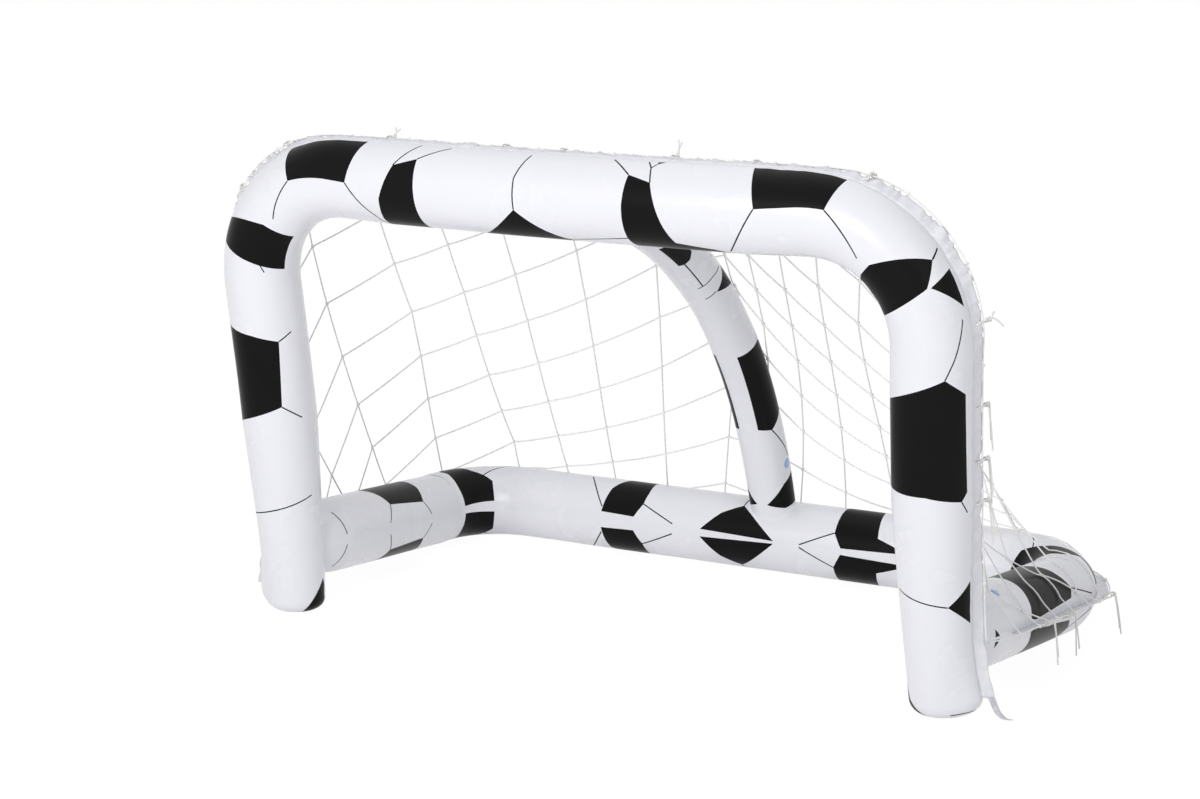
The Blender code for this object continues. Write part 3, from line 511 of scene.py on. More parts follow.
# The valve film is darker in the hollows of its grain bump: painted shade.
VALVE = grained_with_hollow_shade(
    "valve_film", (0.42, 0.58, 0.84), roughness=0.3, dark=(0.36, 0.52, 0.8), light=(0.48, 0.64, 0.88),
    scale=160, detail=3, strength=0.2, depth=0.0005)


def placed(name, data):
    """New object in the scene."""
    made = bpy.data.objects.new(name, data)
    bpy.context.scene.collection.objects.link(made)
    return made


def add_piece(name, mesh, looks, slot, *nodes, body=BODY):
    """Put a mesh in the scene in place of the nodes that it stands for."""
    made = placed(name, mesh)
    for look in looks:
        mesh.materials.append(look)
    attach(made, body)
    if nodes:
        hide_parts(*nodes)
    return made


def sides(outline):
    """Pairs of neighbours round a closed outline."""
    return zip(outline, outline[1:] + outline[:1])


def weave(bm, rows):
    """Add the faces between rows of vertices."""
    for near, far in zip(rows, rows[1:]):
        for k in range(len(near) - 1):
            bm.faces.new((near[k], far[k], far[k + 1], near[k + 1]))


def circle(count):
    """Even angles round a full turn, in radians."""
    return [2 * pi * k / count for k in range(count)]


def thicken(made):
    """Give a strip the thickness of its film."""
    thick = made.modifiers.new("thickness", "SOLIDIFY")
    thick.thickness = STRIP_THICKNESS
    thick.offset = 0


def mesh_of(name, bm, smooth=True):
    """Mesh from a bmesh, which is freed."""
    bmesh.ops.recalc_face_normals(bm, faces=bm.faces)
    mesh = bpy.data.meshes.new(name)
    bm.to_mesh(mesh)
    bm.free()
    if smooth:
        mesh.shade_smooth()
    return mesh


def inside(outline, x, y):
    """True where a flat point lies inside an outline."""
    found = False
    for (ax, ay), (bx, by) in sides(outline):
        if (ay > y) != (by > y) and x < ax + (bx - ax) * (y - ay) / (by - ay):
            found = not found
    return found


def score(bm, outline, margin):
    """Cut a flat mesh along an outline's sides; gives the faces inside it."""
    low = [min(point[k] for point in outline) - margin for k in range(2)]
    high = [max(point[k] for point in outline) + margin for k in range(2)]
    near = []
    for face in bm.faces:
        x, y, _ = face.calc_center_median()
        if low[0] < x < high[0] and low[1] < y < high[1]:
            near.append(face)
    for start, end in sides(outline):
        parts = dict.fromkeys(part for face in near for part in (face, *face.edges, *face.verts))
        normal = Vector((end[1] - start[1], start[0] - end[0], 0))
        cut = bmesh.ops.bisect_plane(
            bm, geom=list(parts), dist=CUT_MERGE, plane_co=(*start, 0), plane_no=normal)
        near = [part for part in cut["geom"] if isinstance(part, bmesh.types.BMFace)]
    return [face for face in near if inside(outline, *face.calc_center_median().xy)]


def punch(bm, place, radius, count, scale, margin):
    """Cut a round hole into a flat mesh whose second axis is scaled."""
    ring = [(place[0] + radius * cos(a), place[1] + radius / scale * sin(a)) for a in circle(count)]
    bmesh.ops.delete(bm, geom=score(bm, ring, margin), context="FACES")


def stroke(start, end, radius):
    """Outline of a thin line between two places on a tube."""
    scale = radians(radius)
    run = Vector((end[0] - start[0], (end[1] - start[1]) * scale))
    side = Vector((-run.y, run.x)).normalized() * LINE_WIDTH / 2
    corners = ((start, side), (end, side), (end, -side), (start, -side))
    return [(place[0] + offset.x, place[1] + offset.y / scale) for place, offset in corners]


def uneven(length, angle, seam, bends, seed):
    """Height over the plain round: creases and puckers at the seams, slack in bends."""
    outer = min(angle, 360 - angle)
    inner = abs(angle - seam)
    pucker = noise.noise(Vector((length / PUCKER_LENGTH, seed, 0)))
    height = 0.0
    for off_seam, depth in ((outer, 1.0), (inner, INNER_SEAM_SHARE)):
        height -= SEAM_DIP * depth * exp(-(off_seam / SEAM_DIP_WIDTH) ** 2)
        height += PUCKER_DEPTH * depth * pucker * exp(-(off_seam / PUCKER_WIDTH) ** 2)
    for start, end in bends:
        share = (length - start) / (end - start)
        if 0 < share < 1:
            slack = noise.noise(Vector((length / BEND_PUCKER_LENGTH, seed, 5)))
            reach = sin(pi * share) * exp(-((angle - 180) / BEND_PUCKER_WIDTH) ** 2)
            height += BEND_PUCKER_DEPTH * slack * reach
    around = radians(angle)
    wave = Vector((length / SKIN_WAVE_LENGTH, cos(around) + seed, sin(around)))
    return height + SKIN_WAVE * noise.noise(wave)


def skin(name, station, rings, turn, seam, bends, prints, lines, seed, node, hole, plain=()):
    """Printed skin of one chamber, open at its valve. Prints are mirrored over the inner seam."""
    radius = station(rings[len(rings) // 2])[3]
    bm = bmesh.new()
    step = 360 / SKIN_SIDES
    grid = [[bm.verts.new((length, k * step, 0)) for k in range(SKIN_SIDES + 1)] for length in rings]
    weave(bm, grid)
    margin = max(SKIN_STEP, step)
    back = (360 - seam) / seam
    outlines = [stroke(start, end, radius) for line in lines for start, end in zip(line, line[1:])]
    shapes = list(plain)
    for outline in prints + outlines:
        shapes += [outline, [(length, 360 - angle * back) for length, angle in reversed(outline)]]
    for shape in shapes:
        for face in score(bm, shape, margin):
            face.material_index = 1
    degree = radians(radius)
    punch(bm, hole, VALVE_HOLE, VALVE_HOLE_SIDES, degree, margin)
    ends = []
    for vert in bm.verts:
        length, angle, _ = vert.co
        centre, out, across, r = station(length)
        around = radians(angle) * turn
        normal = out * cos(around) + across * sin(around)
        apart = hypot(length - hole[0], (angle - hole[1]) * degree)
        calm = min(1.0, apart / VALVE_CALM) ** 2
        bulge = uneven(length, angle, seam, bends, seed) * calm
        if station is arch_station:
            bulge += ear(centre.z) * exp(-(min(angle, 360 - angle) / EAR_SPREAD) ** 2)
        place = centre + normal * (r + bulge)
        place.z = max(place.z, 0)
        if angle in (0, 360):
            ends.append(vert)
        vert.co = place
    bmesh.ops.remove_doubles(bm, verts=ends, dist=SEAM_MERGE)
    tips = [station(length)[0] for length in (rings[0], rings[-1])]
    rims = []
    for edge in bm.edges:
        middle = (edge.verts[0].co + edge.verts[1].co) / 2
        if edge.is_boundary and min((middle - tip).length for tip in tips) < radius:
            rims.append(edge)
    bmesh.ops.holes_fill(bm, edges=rims, sides=0)
    add_piece(name, mesh_of(name, bm), (WHITE, BLACK), "vinyl_white", node)


def even(start, end, step):
    """Evenly spaced values, both ends included."""
    count = max(1, round((end - start) / step))
    return [start + (end - start) * k / count for k in range(count + 1)]


# Print of the arch: black patches and thin lines, as (length along the tube, degrees from its outer seam).
# At EDGE the printed film meets the outer seam's weld.
EDGE = 8
ARCH_PRINTS = [
    [(1.3, EDGE), (1.505, EDGE), (1.48, 80), (1.308, 73)],
    [(1.07, EDGE), (1.1, 43), (1.162, 103), (1.172, 154), (1.016, 159), (1.028, 106), (1.036, 52),
     (1.035, EDGE)],
    [(0.84, EDGE), (0.832, 44), (0.816, 98), (0.796, 138), (0.616, 131), (0.568, 51), (0.53, EDGE)],
    [(1.616, 50), (1.68, 38), (1.684, 76), (1.69, 135), (1.7, 196), (1.575, 196), (1.572, 135),
     (1.58, 98)],
    [(1.972, 97), (1.88, 142), (1.78, 196), (2.2, 196), (2.096, 150)],
    [(2.276, 38), (2.272, 81), (2.272, 131), (2.29, 196), (2.66, 196), (2.496, 145), (2.4, 134),
     (2.34, 48)],
    [(2.588, EDGE), (2.8, EDGE), (2.788, 65), (2.62, 74)],
    [(2.94, 101), (3.02, 28), (3.062, 55), (3.084, 143), (3.085, 165), (2.945, 160), (2.936, 128)],
    [(3.05, 9), (3.124, 10), (3.064, 50)],
    [(3.34, 190), (3.328, 152), (3.26, 53), (3.304, 20), (3.548, 17), (3.568, 28), (3.548, 80),
     (3.548, 190)],
    [(3.78, EDGE), (3.892, EDGE), (3.836, 52)],
    [(2.334, 9), (2.356, 9), (2.338, 15)],
]
ARCH_LINES = [
    [(1.308, 73), (1.2, 109)],
    [(1.48, 80), (1.552, 130), (1.6, 190)],
    [(0.796, 138), (0.816, 160)],
    [(0.616, 131), (0.576, 162)],
    [(0.28, 10), (0.296, 54), (0.324, 119), (0.348, 170)],
    [(1.616, 50), (1.668, 9)],
    [(1.68, 38), (1.756, 11)],
    [(1.972, 97), (1.968, 55), (1.988, 13)],
    [(2.276, 38), (2.216, 10)],
    [(2.34, 48), (2.327, 24), (2.31, 10)],
    [(2.327, 24), (2.338, 14)],
    [(2.272, 131), (2.18, 140), (2.096, 150)],
    [(2.62, 74), (2.536, 147)],
    [(2.788, 65), (2.904, 106)],
    [(3.02, 28), (3.008, EDGE)],
    [(3.568, 28), (3.6, 17)],
    [(3.26, 53), (3.144, 19)],
    [(3.808, 143), (3.824, 94), (3.836, 52)],
    [(4.128, 53), (4.12, EDGE)],
    [(1.004, 127), (1.088, 99)],
]

# Prints at the arch's feet, on one face of the film only
FOOT_PRINTS = [
    [(0.095, 192), (0.06, 202), (0.03, 202), (0.002, 190), (0.002, 135)],
    [(4.055, 152), (4.1, 138), (4.141, 100), (4.141, 202), (4.06, 202)],
]

# Print of the ground frame: the side and corner patches are the same at both ends.
SIDE_PRINTS = [
    [(0.335, 6), (0.305, 9), (0.318, 26), (0.328, 60), (0.33, 95), (0.36, 138), (0.536, 146), (0.56, 118),
     (0.565, 91), (0.589, 57), (0.617, 30), (0.597, 16)],
    [(0.78, 170), (0.78, 139), (0.795, 103), (0.79, 87), (0.825, 58), (0.801, 32), (0.79, 14), (0.815, 12),
     (0.83, 47), (0.85, 72), (0.89, 104), (0.96, 132), (0.968, 167)],
]
SIDE_LINES = [
    [(0.076, 125), (0.088, 148), (0.096, 168)],
    [(0.36, 138), (0.328, 167)],
    [(0.536, 146), (0.564, 169)],
    [(0.617, 30), (0.749, 11)],
    [(0.925, 119), (1.025, 81)],
]
BACK_PRINTS = [
    [(1.38, 163), (1.392, 119), (1.42, 88), (1.45, 40), (1.52, 40), (1.512, 91), (1.516, 119),
     (1.512, 142), (1.488, 165)],
    [(1.706, 170), (1.764, 139), (1.824, 120), (1.94, 174)],
    [(2.124, 148), (2.124, 88), (2.14, 40), (2.22, 40), (2.24, 88), (2.256, 148), (2.32, 160),
     (2.32, 168), (2.148, 171)],
    [(3.608, 14), (3.584, 2), (3.608, 2)],
]
BACK_LINES = [
    [(1.3, 90), (1.38, 155)],
    [(1.512, 142), (1.616, 168)],
    [(1.824, 120), (1.828, 103)],
    [(2.124, 148), (2.02, 174)],
]

# Print of the strut, from the crossbar down
STRUT_PRINTS = [
    [(0.42, 149), (0.45, 103), (0.548, 103), (0.565, 120), (0.565, 137), (0.556, 150)],
    [(0.738, 55), (0.828, 57), (0.767, 120), (0.75, 82)],
    [(1.065, 74), (1.061, 150), (1.35, 154), (1.366, 119), (1.331, 69), (1.2, 20), (1.12, 20)],
    [(1.53, 72), (1.62, 72), (1.62, 120), (1.6, 166), (1.548, 114)],
]
STRUT_LINES = [
    [(0.565, 137), (0.704, 139)],
    [(0.706, 152), (0.706, 107), (0.722, 68)],
    [(0.767, 152), (0.763, 121)],
    [(1.035, 61), (1.065, 74)],
    [(1.366, 119), (1.448, 84), (1.48, 77)],
]


def at_both_ends(shapes):
    """Shapes of the ground frame's left end, with copies at its right end."""
    return shapes + [[(GROUND_LENGTH - length, angle) for length, angle in shape] for shape in shapes]


def chambers():
    """The three printed skins."""
    foot = [FOOT_EDGE * (1 - cos(pi / 2 * k / FOOT_RINGS)) for k in range(FOOT_RINGS)]
    rings = foot + even(FOOT_EDGE, ARCH_LENGTH - FOOT_EDGE, SKIN_STEP)
    rings += [ARCH_LENGTH - length for length in reversed(foot)]
    bends = [(POST_RUN, POST_RUN + ARCH_TURN), (ARCH_LENGTH - POST_RUN - ARCH_TURN, ARCH_LENGTH - POST_RUN)]
    hole = (ARCH_LENGTH - ARCH_VALVE_HEIGHT, 360 - ARCH_VALVE_TURN)
    skin("arch_skin", arch_station, rings, -1, ARCH_INNER_SEAM, bends, ARCH_PRINTS, ARCH_LINES, 1,
         "front_arch", hole, FOOT_PRINTS)
    rings = even(0, GROUND_LENGTH, SKIN_STEP)
    bends = [(SIDE_RUN, SIDE_RUN + GROUND_TURN)]
    bends.append((GROUND_LENGTH - SIDE_RUN - GROUND_TURN, GROUND_LENGTH - SIDE_RUN))
    prints = at_both_ends(SIDE_PRINTS) + BACK_PRINTS
    lines = at_both_ends(SIDE_LINES) + BACK_LINES
    hole = (GROUND_LENGTH - GROUND_VALVE_LENGTH, GROUND_VALVE_TURN)
    skin("ground_skin", ground_station, rings, 1, GROUND_INNER_SEAM, bends, prints, lines, 2,
         "ground_frame", hole)
    rings = even(0, STRUT_LENGTH, SKIN_STEP)
    hole = (STRUT_LENGTH * STRUT_VALVE_SHARE, STRUT_VALVE_TURN)
    skin("strut_skin", strut_station, rings, 1, STRUT_INNER_SEAM, [], STRUT_PRINTS, STRUT_LINES, 3,
         "centre_strut", hole)


def strip(label, station, start, end, holes, seed):
    """Crinkled seam strip, pleated in its bends, with punched holes."""
    bm = bmesh.new()
    lengths = even(start, end, STRIP_STEP)
    rows = even(0, STRIP_WIDTH, STRIP_WIDTH / STRIP_ROWS)
    grid = [[bm.verts.new((length, reach, 0)) for reach in rows] for length in lengths]
    weave(bm, grid)
    for length in holes:
        punch(bm, (length, STRIP_WIDTH - HOLE_EDGE), HOLE_RADIUS, HOLE_SIDES, 1, STRIP_STEP)
    for vert in bm.verts:
        length, reach, _ = vert.co
        spot = station(length)
        share = reach / STRIP_WIDTH
        wave = STRIP_WAVE * noise.noise(Vector((length / STRIP_WAVE_LENGTH, seed, 0)))
        ripple = Vector((length / STRIP_RIPPLE_LENGTH, seed, share * STRIP_RIPPLE_ACROSS))
        wave += STRIP_RIPPLE * noise.noise(ripple)
        edge = STRIP_EDGE_WAVE * noise.noise(Vector((length / STRIP_WAVE_LENGTH, seed, 9))) * share
        bend = 2 * abs(spot[1].z) * sqrt(max(0, 1 - spot[1].z ** 2))
        drift = PLEAT_DRIFT * noise.noise(Vector((length / STRIP_WAVE_LENGTH, seed, 4)))
        wave += PLEAT_DEPTH * bend * sin(2 * pi * (length / PLEAT_LENGTH + drift))
        if reach == 0:
            vert.co = fold(label, spot, 0)[0] - spot[1] * STRIP_ROOT
            continue
        place, _, face = fold(label, spot, reach + edge)
        vert.co = off_tube(spot, place + face * (wave * share ** STRIP_WAVE_POWER), STRIP_REST)
    name = label + "_strip"
    thicken(add_piece(name, mesh_of(name, bm), (STRIP,), "strip_vinyl", label + "_seam_strip"))


def ribbon():
    """Loose end of the arch's strip, a ribbon down to the floor."""
    end = arch_station(ARCH_LENGTH - STRIP_FOOT)
    points = [fold("arch", end, STRIP_WIDTH * share)[0] for share in RIBBON_START]
    points += [RIGHT_FOOT + Vector(place) for place in RIBBON_PLACES]
    for _ in range(RIBBON_ROUNDS):
        finer = [points[0]]
        for near, far in zip(points, points[1:]):
            finer += [near.lerp(far, CORNER_CUT), near.lerp(far, 1 - CORNER_CUT)]
        points = finer + [points[-1]]
    bm = bmesh.new()
    rows = []
    for k, point in enumerate(points):
        share = k / (len(points) - 1)
        width = RIBBON_WIDTH + (RIBBON_TIP_WIDTH - RIBBON_WIDTH) * share ** 3
        rows.append([bm.verts.new(point + RIBBON_SIDE * (width / 2 * column)) for column in RIBBON_COLUMNS])
    weave(bm, rows)
    thicken(add_piece("arch_strip_tail", mesh_of("arch_strip_tail", bm), (STRIP,), "strip_vinyl"))


def tie_lengths(label, station, total):
    """Length along a frame of each of its ties, from the tie's solid."""
    lengths = even(0, total, STRIP_STEP)
    reach = STRIP_WIDTH - HOLE_EDGE
    edges = np.array([centre + out * (radius + reach) for centre, out, _, radius in map(station, lengths)])
    places = []
    for k in range(TIE_COUNTS[label]):
        mesh = frame["nodes"][f"{label}_tie_{k + 1:02d}"].data
        points = np.array([vert.co for vert in mesh.vertices])
        apart = np.linalg.norm(points[:, None] - edges[None], axis=2)
        places.append(lengths[int(apart.min(0).argmin())])
    return places


def smooth_curve(name, runs, radius, look, slot, *nodes):
    """Round cord through each run of points, as one mesh."""
    curve = bpy.data.curves.new(name + "_curve", "CURVE")
    curve.dimensions = "3D"
    curve.bevel_depth = radius
    curve.bevel_resolution = 2
    curve.use_fill_caps = True
    for points in runs:
        line = curve.splines.new("POLY")
        line.points.add(len(points) - 1)
        for point, place in zip(line.points, points):
            point.co = (*place, 1)
    holder = placed(name + "_curve", curve)
    mesh = bpy.data.meshes.new_from_object(holder.evaluated_get(bpy.context.evaluated_depsgraph_get()))
    mesh.name = name
    mesh.materials.clear()
    bpy.data.objects.remove(holder, do_unlink=True)
    mesh.shade_smooth()
    add_piece(name, mesh, (look,), slot, *nodes)


def spline(points, steps):
    """Catmull-Rom curve through points."""
    ends = [points[0] * 2 - points[1]] + list(points) + [points[-1] * 2 - points[-2]]
    made = []
    for before, near, far, after in zip(ends, ends[1:], ends[2:], ends[3:]):
        for k in range(steps):
            t = k / steps
            made.append(
                near + (far - before) * (t / 2) + (before * 2 - near * 5 + far * 4 - after) * (t * t / 2)
                + (near * 3 - before - far * 3 + after) * (t ** 3 / 2))
    made.append(points[-1])
    return made


def tie(label, station, seed, node):
    """Cord through a hole and round the strip's edge, knotted, with two tails."""
    tip, way, face = fold(label, station, STRIP_WIDTH)
    along = way.cross(face).normalized()
    hole = HOLE_RADIUS - TIE_RADIUS - HOLE_EDGE - 2 * CLEARANCE
    knot = TIE_LOOP_REACH
    side = TIE_KNOT_TURN
    turn = 2 * pi / TIE_WRAP_SIDES
    begin = [(knot + side * TIE_END_REACH, 0, -side), (knot + side, side, -side)]
    loop = [(knot, side, -side), (0, side, -side / 2), (hole, side, 0), (hole, 0, 0), (hole, -side, 0)]
    loop += [(0, -side, side / 2), (knot, -side, side)]
    for k in range(TIE_WRAPS):
        outward = knot + side * TIE_WRAP_PITCH * k
        loop.append((outward, side * cos(turn * k), side * sin(turn * k)))
    start, points = ([tip + way * o + face * a + along * t for o, a, t in part] for part in (begin, loop))
    lift = TAIL_LIFTS.get(node, TAIL_HANG)
    reach = TIE_TAIL * (SHORT_TAIL if lift > 0 else 1)
    tails = []
    for k, length in enumerate((reach, reach * SECOND_TAIL)):
        sway = noise.noise_vector(Vector((seed * SWAY_TIE_STEP, k * SWAY_TAIL_STEP, 1.7)))
        lean = way * TAIL_OUT + Vector((0, 0, lift)) + along * (TAIL_APART * (1 - 2 * k)) + sway * TAIL_SWAY
        lean.normalize()
        droop = Vector((0, 0, -TAIL_DROOP * length * (1 - max(0, lift))))
        shares = [j / TAIL_STEPS for j in range(1, TAIL_STEPS + 1)]
        tails.append([lean * (length * share) + droop * share ** 2 for share in shares])
    first = [start[0] + offset for offset in reversed(tails[0])]
    last = [points[-1] + offset for offset in tails[1]]
    route = first + start + points + last
    fixed = [len(first) <= k < len(first) + len(start) + len(points) for k in range(len(route))]
    route = push_clear(np.array(route), np.array(fixed), 2 * TIE_RADIUS)
    route[:, 2] = np.maximum(route[:, 2], TIE_RADIUS)
    route = spline([Vector(point) for point in route], TIE_STEPS)
    smooth_curve(node.replace("tie", "tie_cord"), [route], TIE_RADIUS, TIE, "tie_cord", node)


def seams():
    """Strips and ties of both frames, and the loose ribbon."""
    frames = (
        ("arch", arch_station, ARCH_LENGTH, STRIP_FOOT, 11),
        ("ground", ground_station, GROUND_LENGTH, STRIP_SIDE_START, 12),
    )
    for label, station, total, start, seed in frames:
        places = tie_lengths(label, station, total)
        strip(label, station, start, total - start, places, seed)
        for k, length in enumerate(places):
            tie(label, station(length), seed + k, f"{label}_tie_{k + 1:02d}")
    ribbon()


def rim_point(label, station):
    """Point on the net's rim, just past the edge of a frame's strip."""
    gap = NET_EDGE_GAP
    if label == "arch":
        gap += NET_BAR_GAP * max(0, station[1].z) ** 4
    place = fold(label, station, STRIP_WIDTH + gap)[0]
    return off_tube(station, place, NET_CORD_RADIUS + STRIP_REST)


def sheet_share(u, w):
    """Share along the seams and fall between them of a flat point."""
    beyond = max(0.0, abs(u) - NET_HALF)
    share = 0.5 - min(abs(u), NET_HALF) / NET_SPAN - NET_SIDE_SHARE * beyond / NET_SIDE_REACH
    share = max(0.0, share)
    drop = NET_DROP * min(1.0, max(share, CLEARANCE) / NET_SIDE_SHARE)
    fall = min(1.0, max(0.0, 0.5 + (w - NET_DROP / 2) / drop))
    if u > 0:
        share = 1 - share
    return share, fall


def net_place(u, w):
    """Place in space of a flat point (u across, w down)."""
    share, fall = sheet_share(u, w)
    joint = GROUND_LEVEL + SIDE_RAISE
    top = rim_point("arch", arch_station(joint + (ARCH_LENGTH - 2 * joint) * share))
    behind = SIDE_DOME / 2
    bottom = rim_point("ground", ground_station(behind + (GROUND_LENGTH - 2 * behind) * share))
    chord = bottom - top
    away = Vector((0, -chord.z, chord.y)).normalized()
    edge = exp(-NET_HALF / NET_RIDGE_SPREAD)
    ridge = max(0.0, (exp(-abs(u - NET_RIDGE_PLACE) / NET_RIDGE_SPREAD) - edge) / (1 - edge))
    belly = 4 * fall * (1 - fall)
    slack = exp(-((share - NET_PULL_SHARE) / NET_PULL_SPREAD) ** 2)
    return top + chord * fall + (away * (NET_RIDGE_HEIGHT * ridge) + NET_PULL * slack) * belly


def knot_place(column, row):
    """Flat place of a knot: rows fall away beside the strut, columns drift to the left."""
    step, fan, growth, fall, fall_fan, fall_growth = MESH_LEFT if column < 0 else MESH_RIGHT
    count = abs(column)
    hidden = max(0, -column - MESH_LEFT_SEEN)
    seen = count - hidden
    spread = (step + fan * row) * seen + growth * seen ** 2 + MESH_LEFT_BEYOND * hidden
    fall = (fall + fall_fan * row) * count + fall_growth * count ** 2
    u = MESH_MIDDLE - MESH_DRIFT * row - MESH_DRIFT_GROWTH * row ** 2 + copysign(spread, column)
    w = MESH_TOP + MESH_DROP * row + MESH_DROP_GROWTH * row ** 2 + fall
    return u, w


def on_outline(place):
    """True where a flat point lies on the sheet's outline."""
    for near, far in sides(SHEET):
        along = Vector((far[0] - near[0], far[1] - near[1])).normalized()
        offset = Vector((place.x - near[0], place.y - near[1]))
        if abs(along.x * offset.y - along.y * offset.x) < CLEARANCE:
            return True
    return False


def flat_net():
    """Flat mesh of the net's squares, clipped to the sheet's outline."""
    bm = bmesh.new()
    columns = range(-MESH_LEFT_COLUMNS, MESH_RIGHT_COLUMNS + 1)
    rows = range(MESH_FIRST_ROW, MESH_LAST_ROW + 1)
    grid = {(c, r): bm.verts.new((*knot_place(c, r), 0)) for c in columns for r in rows}
    row_mark = bm.edges.layers.int.new("row")
    for c in columns[:-1]:
        for r in rows[:-1]:
            corners = ((c, r), (c + 1, r), (c + 1, r + 1), (c, r + 1))
            edges = bm.faces.new([grid[place] for place in corners]).edges
            edges[0][row_mark] = edges[2][row_mark] = 1
    for near, far in sides(SHEET):
        normal = Vector((far[1] - near[1], near[0] - far[0], 0))
        bmesh.ops.bisect_plane(
            bm, geom=bm.verts[:] + bm.edges[:] + bm.faces[:], plane_co=(*near, 0), plane_no=normal,
            clear_outer=True)
    while True:
        short = [edge for edge in bm.edges if edge.calc_length() < LEAST_CORD]
        if not short:
            return bm, row_mark
        verts = sorted(short[0].verts, key=lambda vert: not on_outline(vert.co))
        bmesh.ops.pointmerge(bm, verts=verts, merge_co=verts[0].co.copy())


def tube_runs():
    """Straight pieces of the tubes: start, run, radius and its growth."""
    runs = []
    tubes = (arch_station, ARCH_LENGTH), (ground_station, GROUND_LENGTH), (strut_station, STRUT_LENGTH)
    for station, total in tubes:
        stations = [station(length) for length in even(0, total, CLEAR_STEP)]
        for near, far in zip(stations, stations[1:]):
            runs.append((*near[0], *(far[0] - near[0]), near[3], far[3] - near[3]))
    return np.array(runs)


TUBE_RUNS = tube_runs()


def push_clear(points, fixed, gap):
    """Move free points out of the tubes until they clear them by a gap."""
    start, run = TUBE_RUNS[None, :, 0:3], TUBE_RUNS[None, :, 3:6]
    radius, growth = TUBE_RUNS[None, :, 6], TUBE_RUNS[None, :, 7]
    squared = (run * run).sum(-1)
    for _ in range(CLEAR_ROUNDS):
        offset = points[:, None] - start
        share = np.clip((offset * run).sum(-1) / squared, 0, 1)
        apart = offset - run * share[..., None]
        distance = np.maximum(np.linalg.norm(apart, axis=-1), CUT_MERGE)
        lack = radius + growth * share + gap - distance
        worst = lack.argmax(1)
        index = np.arange(len(points))
        push = np.maximum(lack[index, worst], 0) * ~fixed
        points = points + apart[index, worst] / distance[index, worst][:, None] * push[:, None]
    return points


def knot_form(bm, place, first, second, normal):
    """Two small interlocked loops of cord at a crossing of the net."""
    for way, lift in ((first, 1), (second, -1)):
        side = normal.cross(way).normalized()
        middle = place + normal * (lift * NET_CORD_RADIUS / 2)
        rings = []
        for turn in circle(KNOT_SIDES):
            outward = side * cos(turn) + normal * sin(turn)
            centre = middle + outward * KNOT_RADIUS + way * (KNOT_RADIUS / 2 * cos(turn * 2))
            ring = []
            for angle in circle(KNOT_CORD_SIDES):
                offset = outward * cos(angle) + way * sin(angle)
                ring.append(bm.verts.new(centre + offset * (NET_CORD_RADIUS * KNOT_CORD_SHARE)))
            rings.append(ring)
        for near, far in sides(rings):
            for j in range(KNOT_CORD_SIDES):
                n = (j + 1) % KNOT_CORD_SIDES
                bm.faces.new((near[j], near[n], far[n], far[j]))


def cord_routes(bm, row_mark):
    """Points of the net, knots first, and each cord's row of point numbers."""
    bm.verts.index_update()
    points = [net_place(vert.co.x, vert.co.y) for vert in bm.verts]
    fixed = [on_outline(vert.co) for vert in bm.verts]
    routes = []
    for edge in bm.edges:
        near, far = edge.verts
        steps = max(2, round(edge.calc_length() / CORD_STEP))
        slack = SLACK_LEFT
        if edge[row_mark] and (near.co.x + far.co.x) / 2 > SLACK_BORDER:
            slack = SLACK_RIGHT
        route = [near.index]
        for k in range(1, steps):
            share = k / steps
            if edge.is_boundary:
                flat = near.co.lerp(far.co, share)
                place = net_place(flat.x, flat.y)
            else:
                place = points[near.index].lerp(points[far.index], share)
                place.z -= slack * edge.calc_length() * 4 * share * (1 - share)
            route.append(len(points))
            points.append(place)
            fixed.append(edge.is_boundary)
        routes.append(route + [far.index])
    gap = NET_CORD_RADIUS + SKIN_WAVE + NET_REST
    return [Vector(point) for point in push_clear(np.array(points), np.array(fixed), gap)], routes


def net_knots(bm, points):
    """A knot at each crossing of the net where cords meet at an angle."""
    knots = bmesh.new()
    for vert in bm.verts:
        place = points[vert.index]
        ways = [(points[edge.other_vert(vert).index] - place).normalized() for edge in vert.link_edges]
        normal = ways[0].cross(ways[1])
        for way in ways[2:]:
            if normal.length < PLAIN_CROSSING:
                normal = ways[0].cross(way)
        if normal.length > LEAST_CROSSING:
            knot_form(knots, place, ways[0], normal.cross(ways[0]).normalized(), normal.normalized())
    add_piece("net_knots", mesh_of("net_knots", knots), (CORD,), "net_cord")


def net():
    """The net's cords, slack at the right, and its knots."""
    bm, row_mark = flat_net()
    points, routes = cord_routes(bm, row_mark)
    runs = [[points[k] for k in route] for route in routes]
    nodes = ("net_side_left", "net_back_left", "net_back_right", "net_side_right")
    smooth_curve("net_cords", runs, NET_CORD_RADIUS, CORD, "net_cord", *nodes)
    net_knots(bm, points)
    bm.free()


def turned(profile, closed):
    """New mesh of a profile of (radius, height) points, turned round +Z."""
    bm = bmesh.new()
    rings = []
    for radius, height in profile:
        if radius == 0:
            rings.append([bm.verts.new((0, 0, height))] * VALVE_SIDES)
            continue
        ring = [(radius * cos(a), radius * sin(a), height) for a in circle(VALVE_SIDES)]
        rings.append([bm.verts.new(place) for place in ring])
    for near, far in sides(rings) if closed else zip(rings, rings[1:]):
        for k in range(VALVE_SIDES):
            n = (k + 1) % VALVE_SIDES
            bm.faces.new(list(dict.fromkeys((near[k], near[n], far[n], far[k]))))
    return bm


def block(bm, low, high):
    """Add a box between two corners to a mesh."""
    middle = [(a + b) / 2 for a, b in zip(low, high)]
    size = Matrix.Diagonal([b - a for a, b in zip(low, high)] + [1])
    bmesh.ops.create_cube(bm, size=1, matrix=Matrix.Translation(middle) @ size)


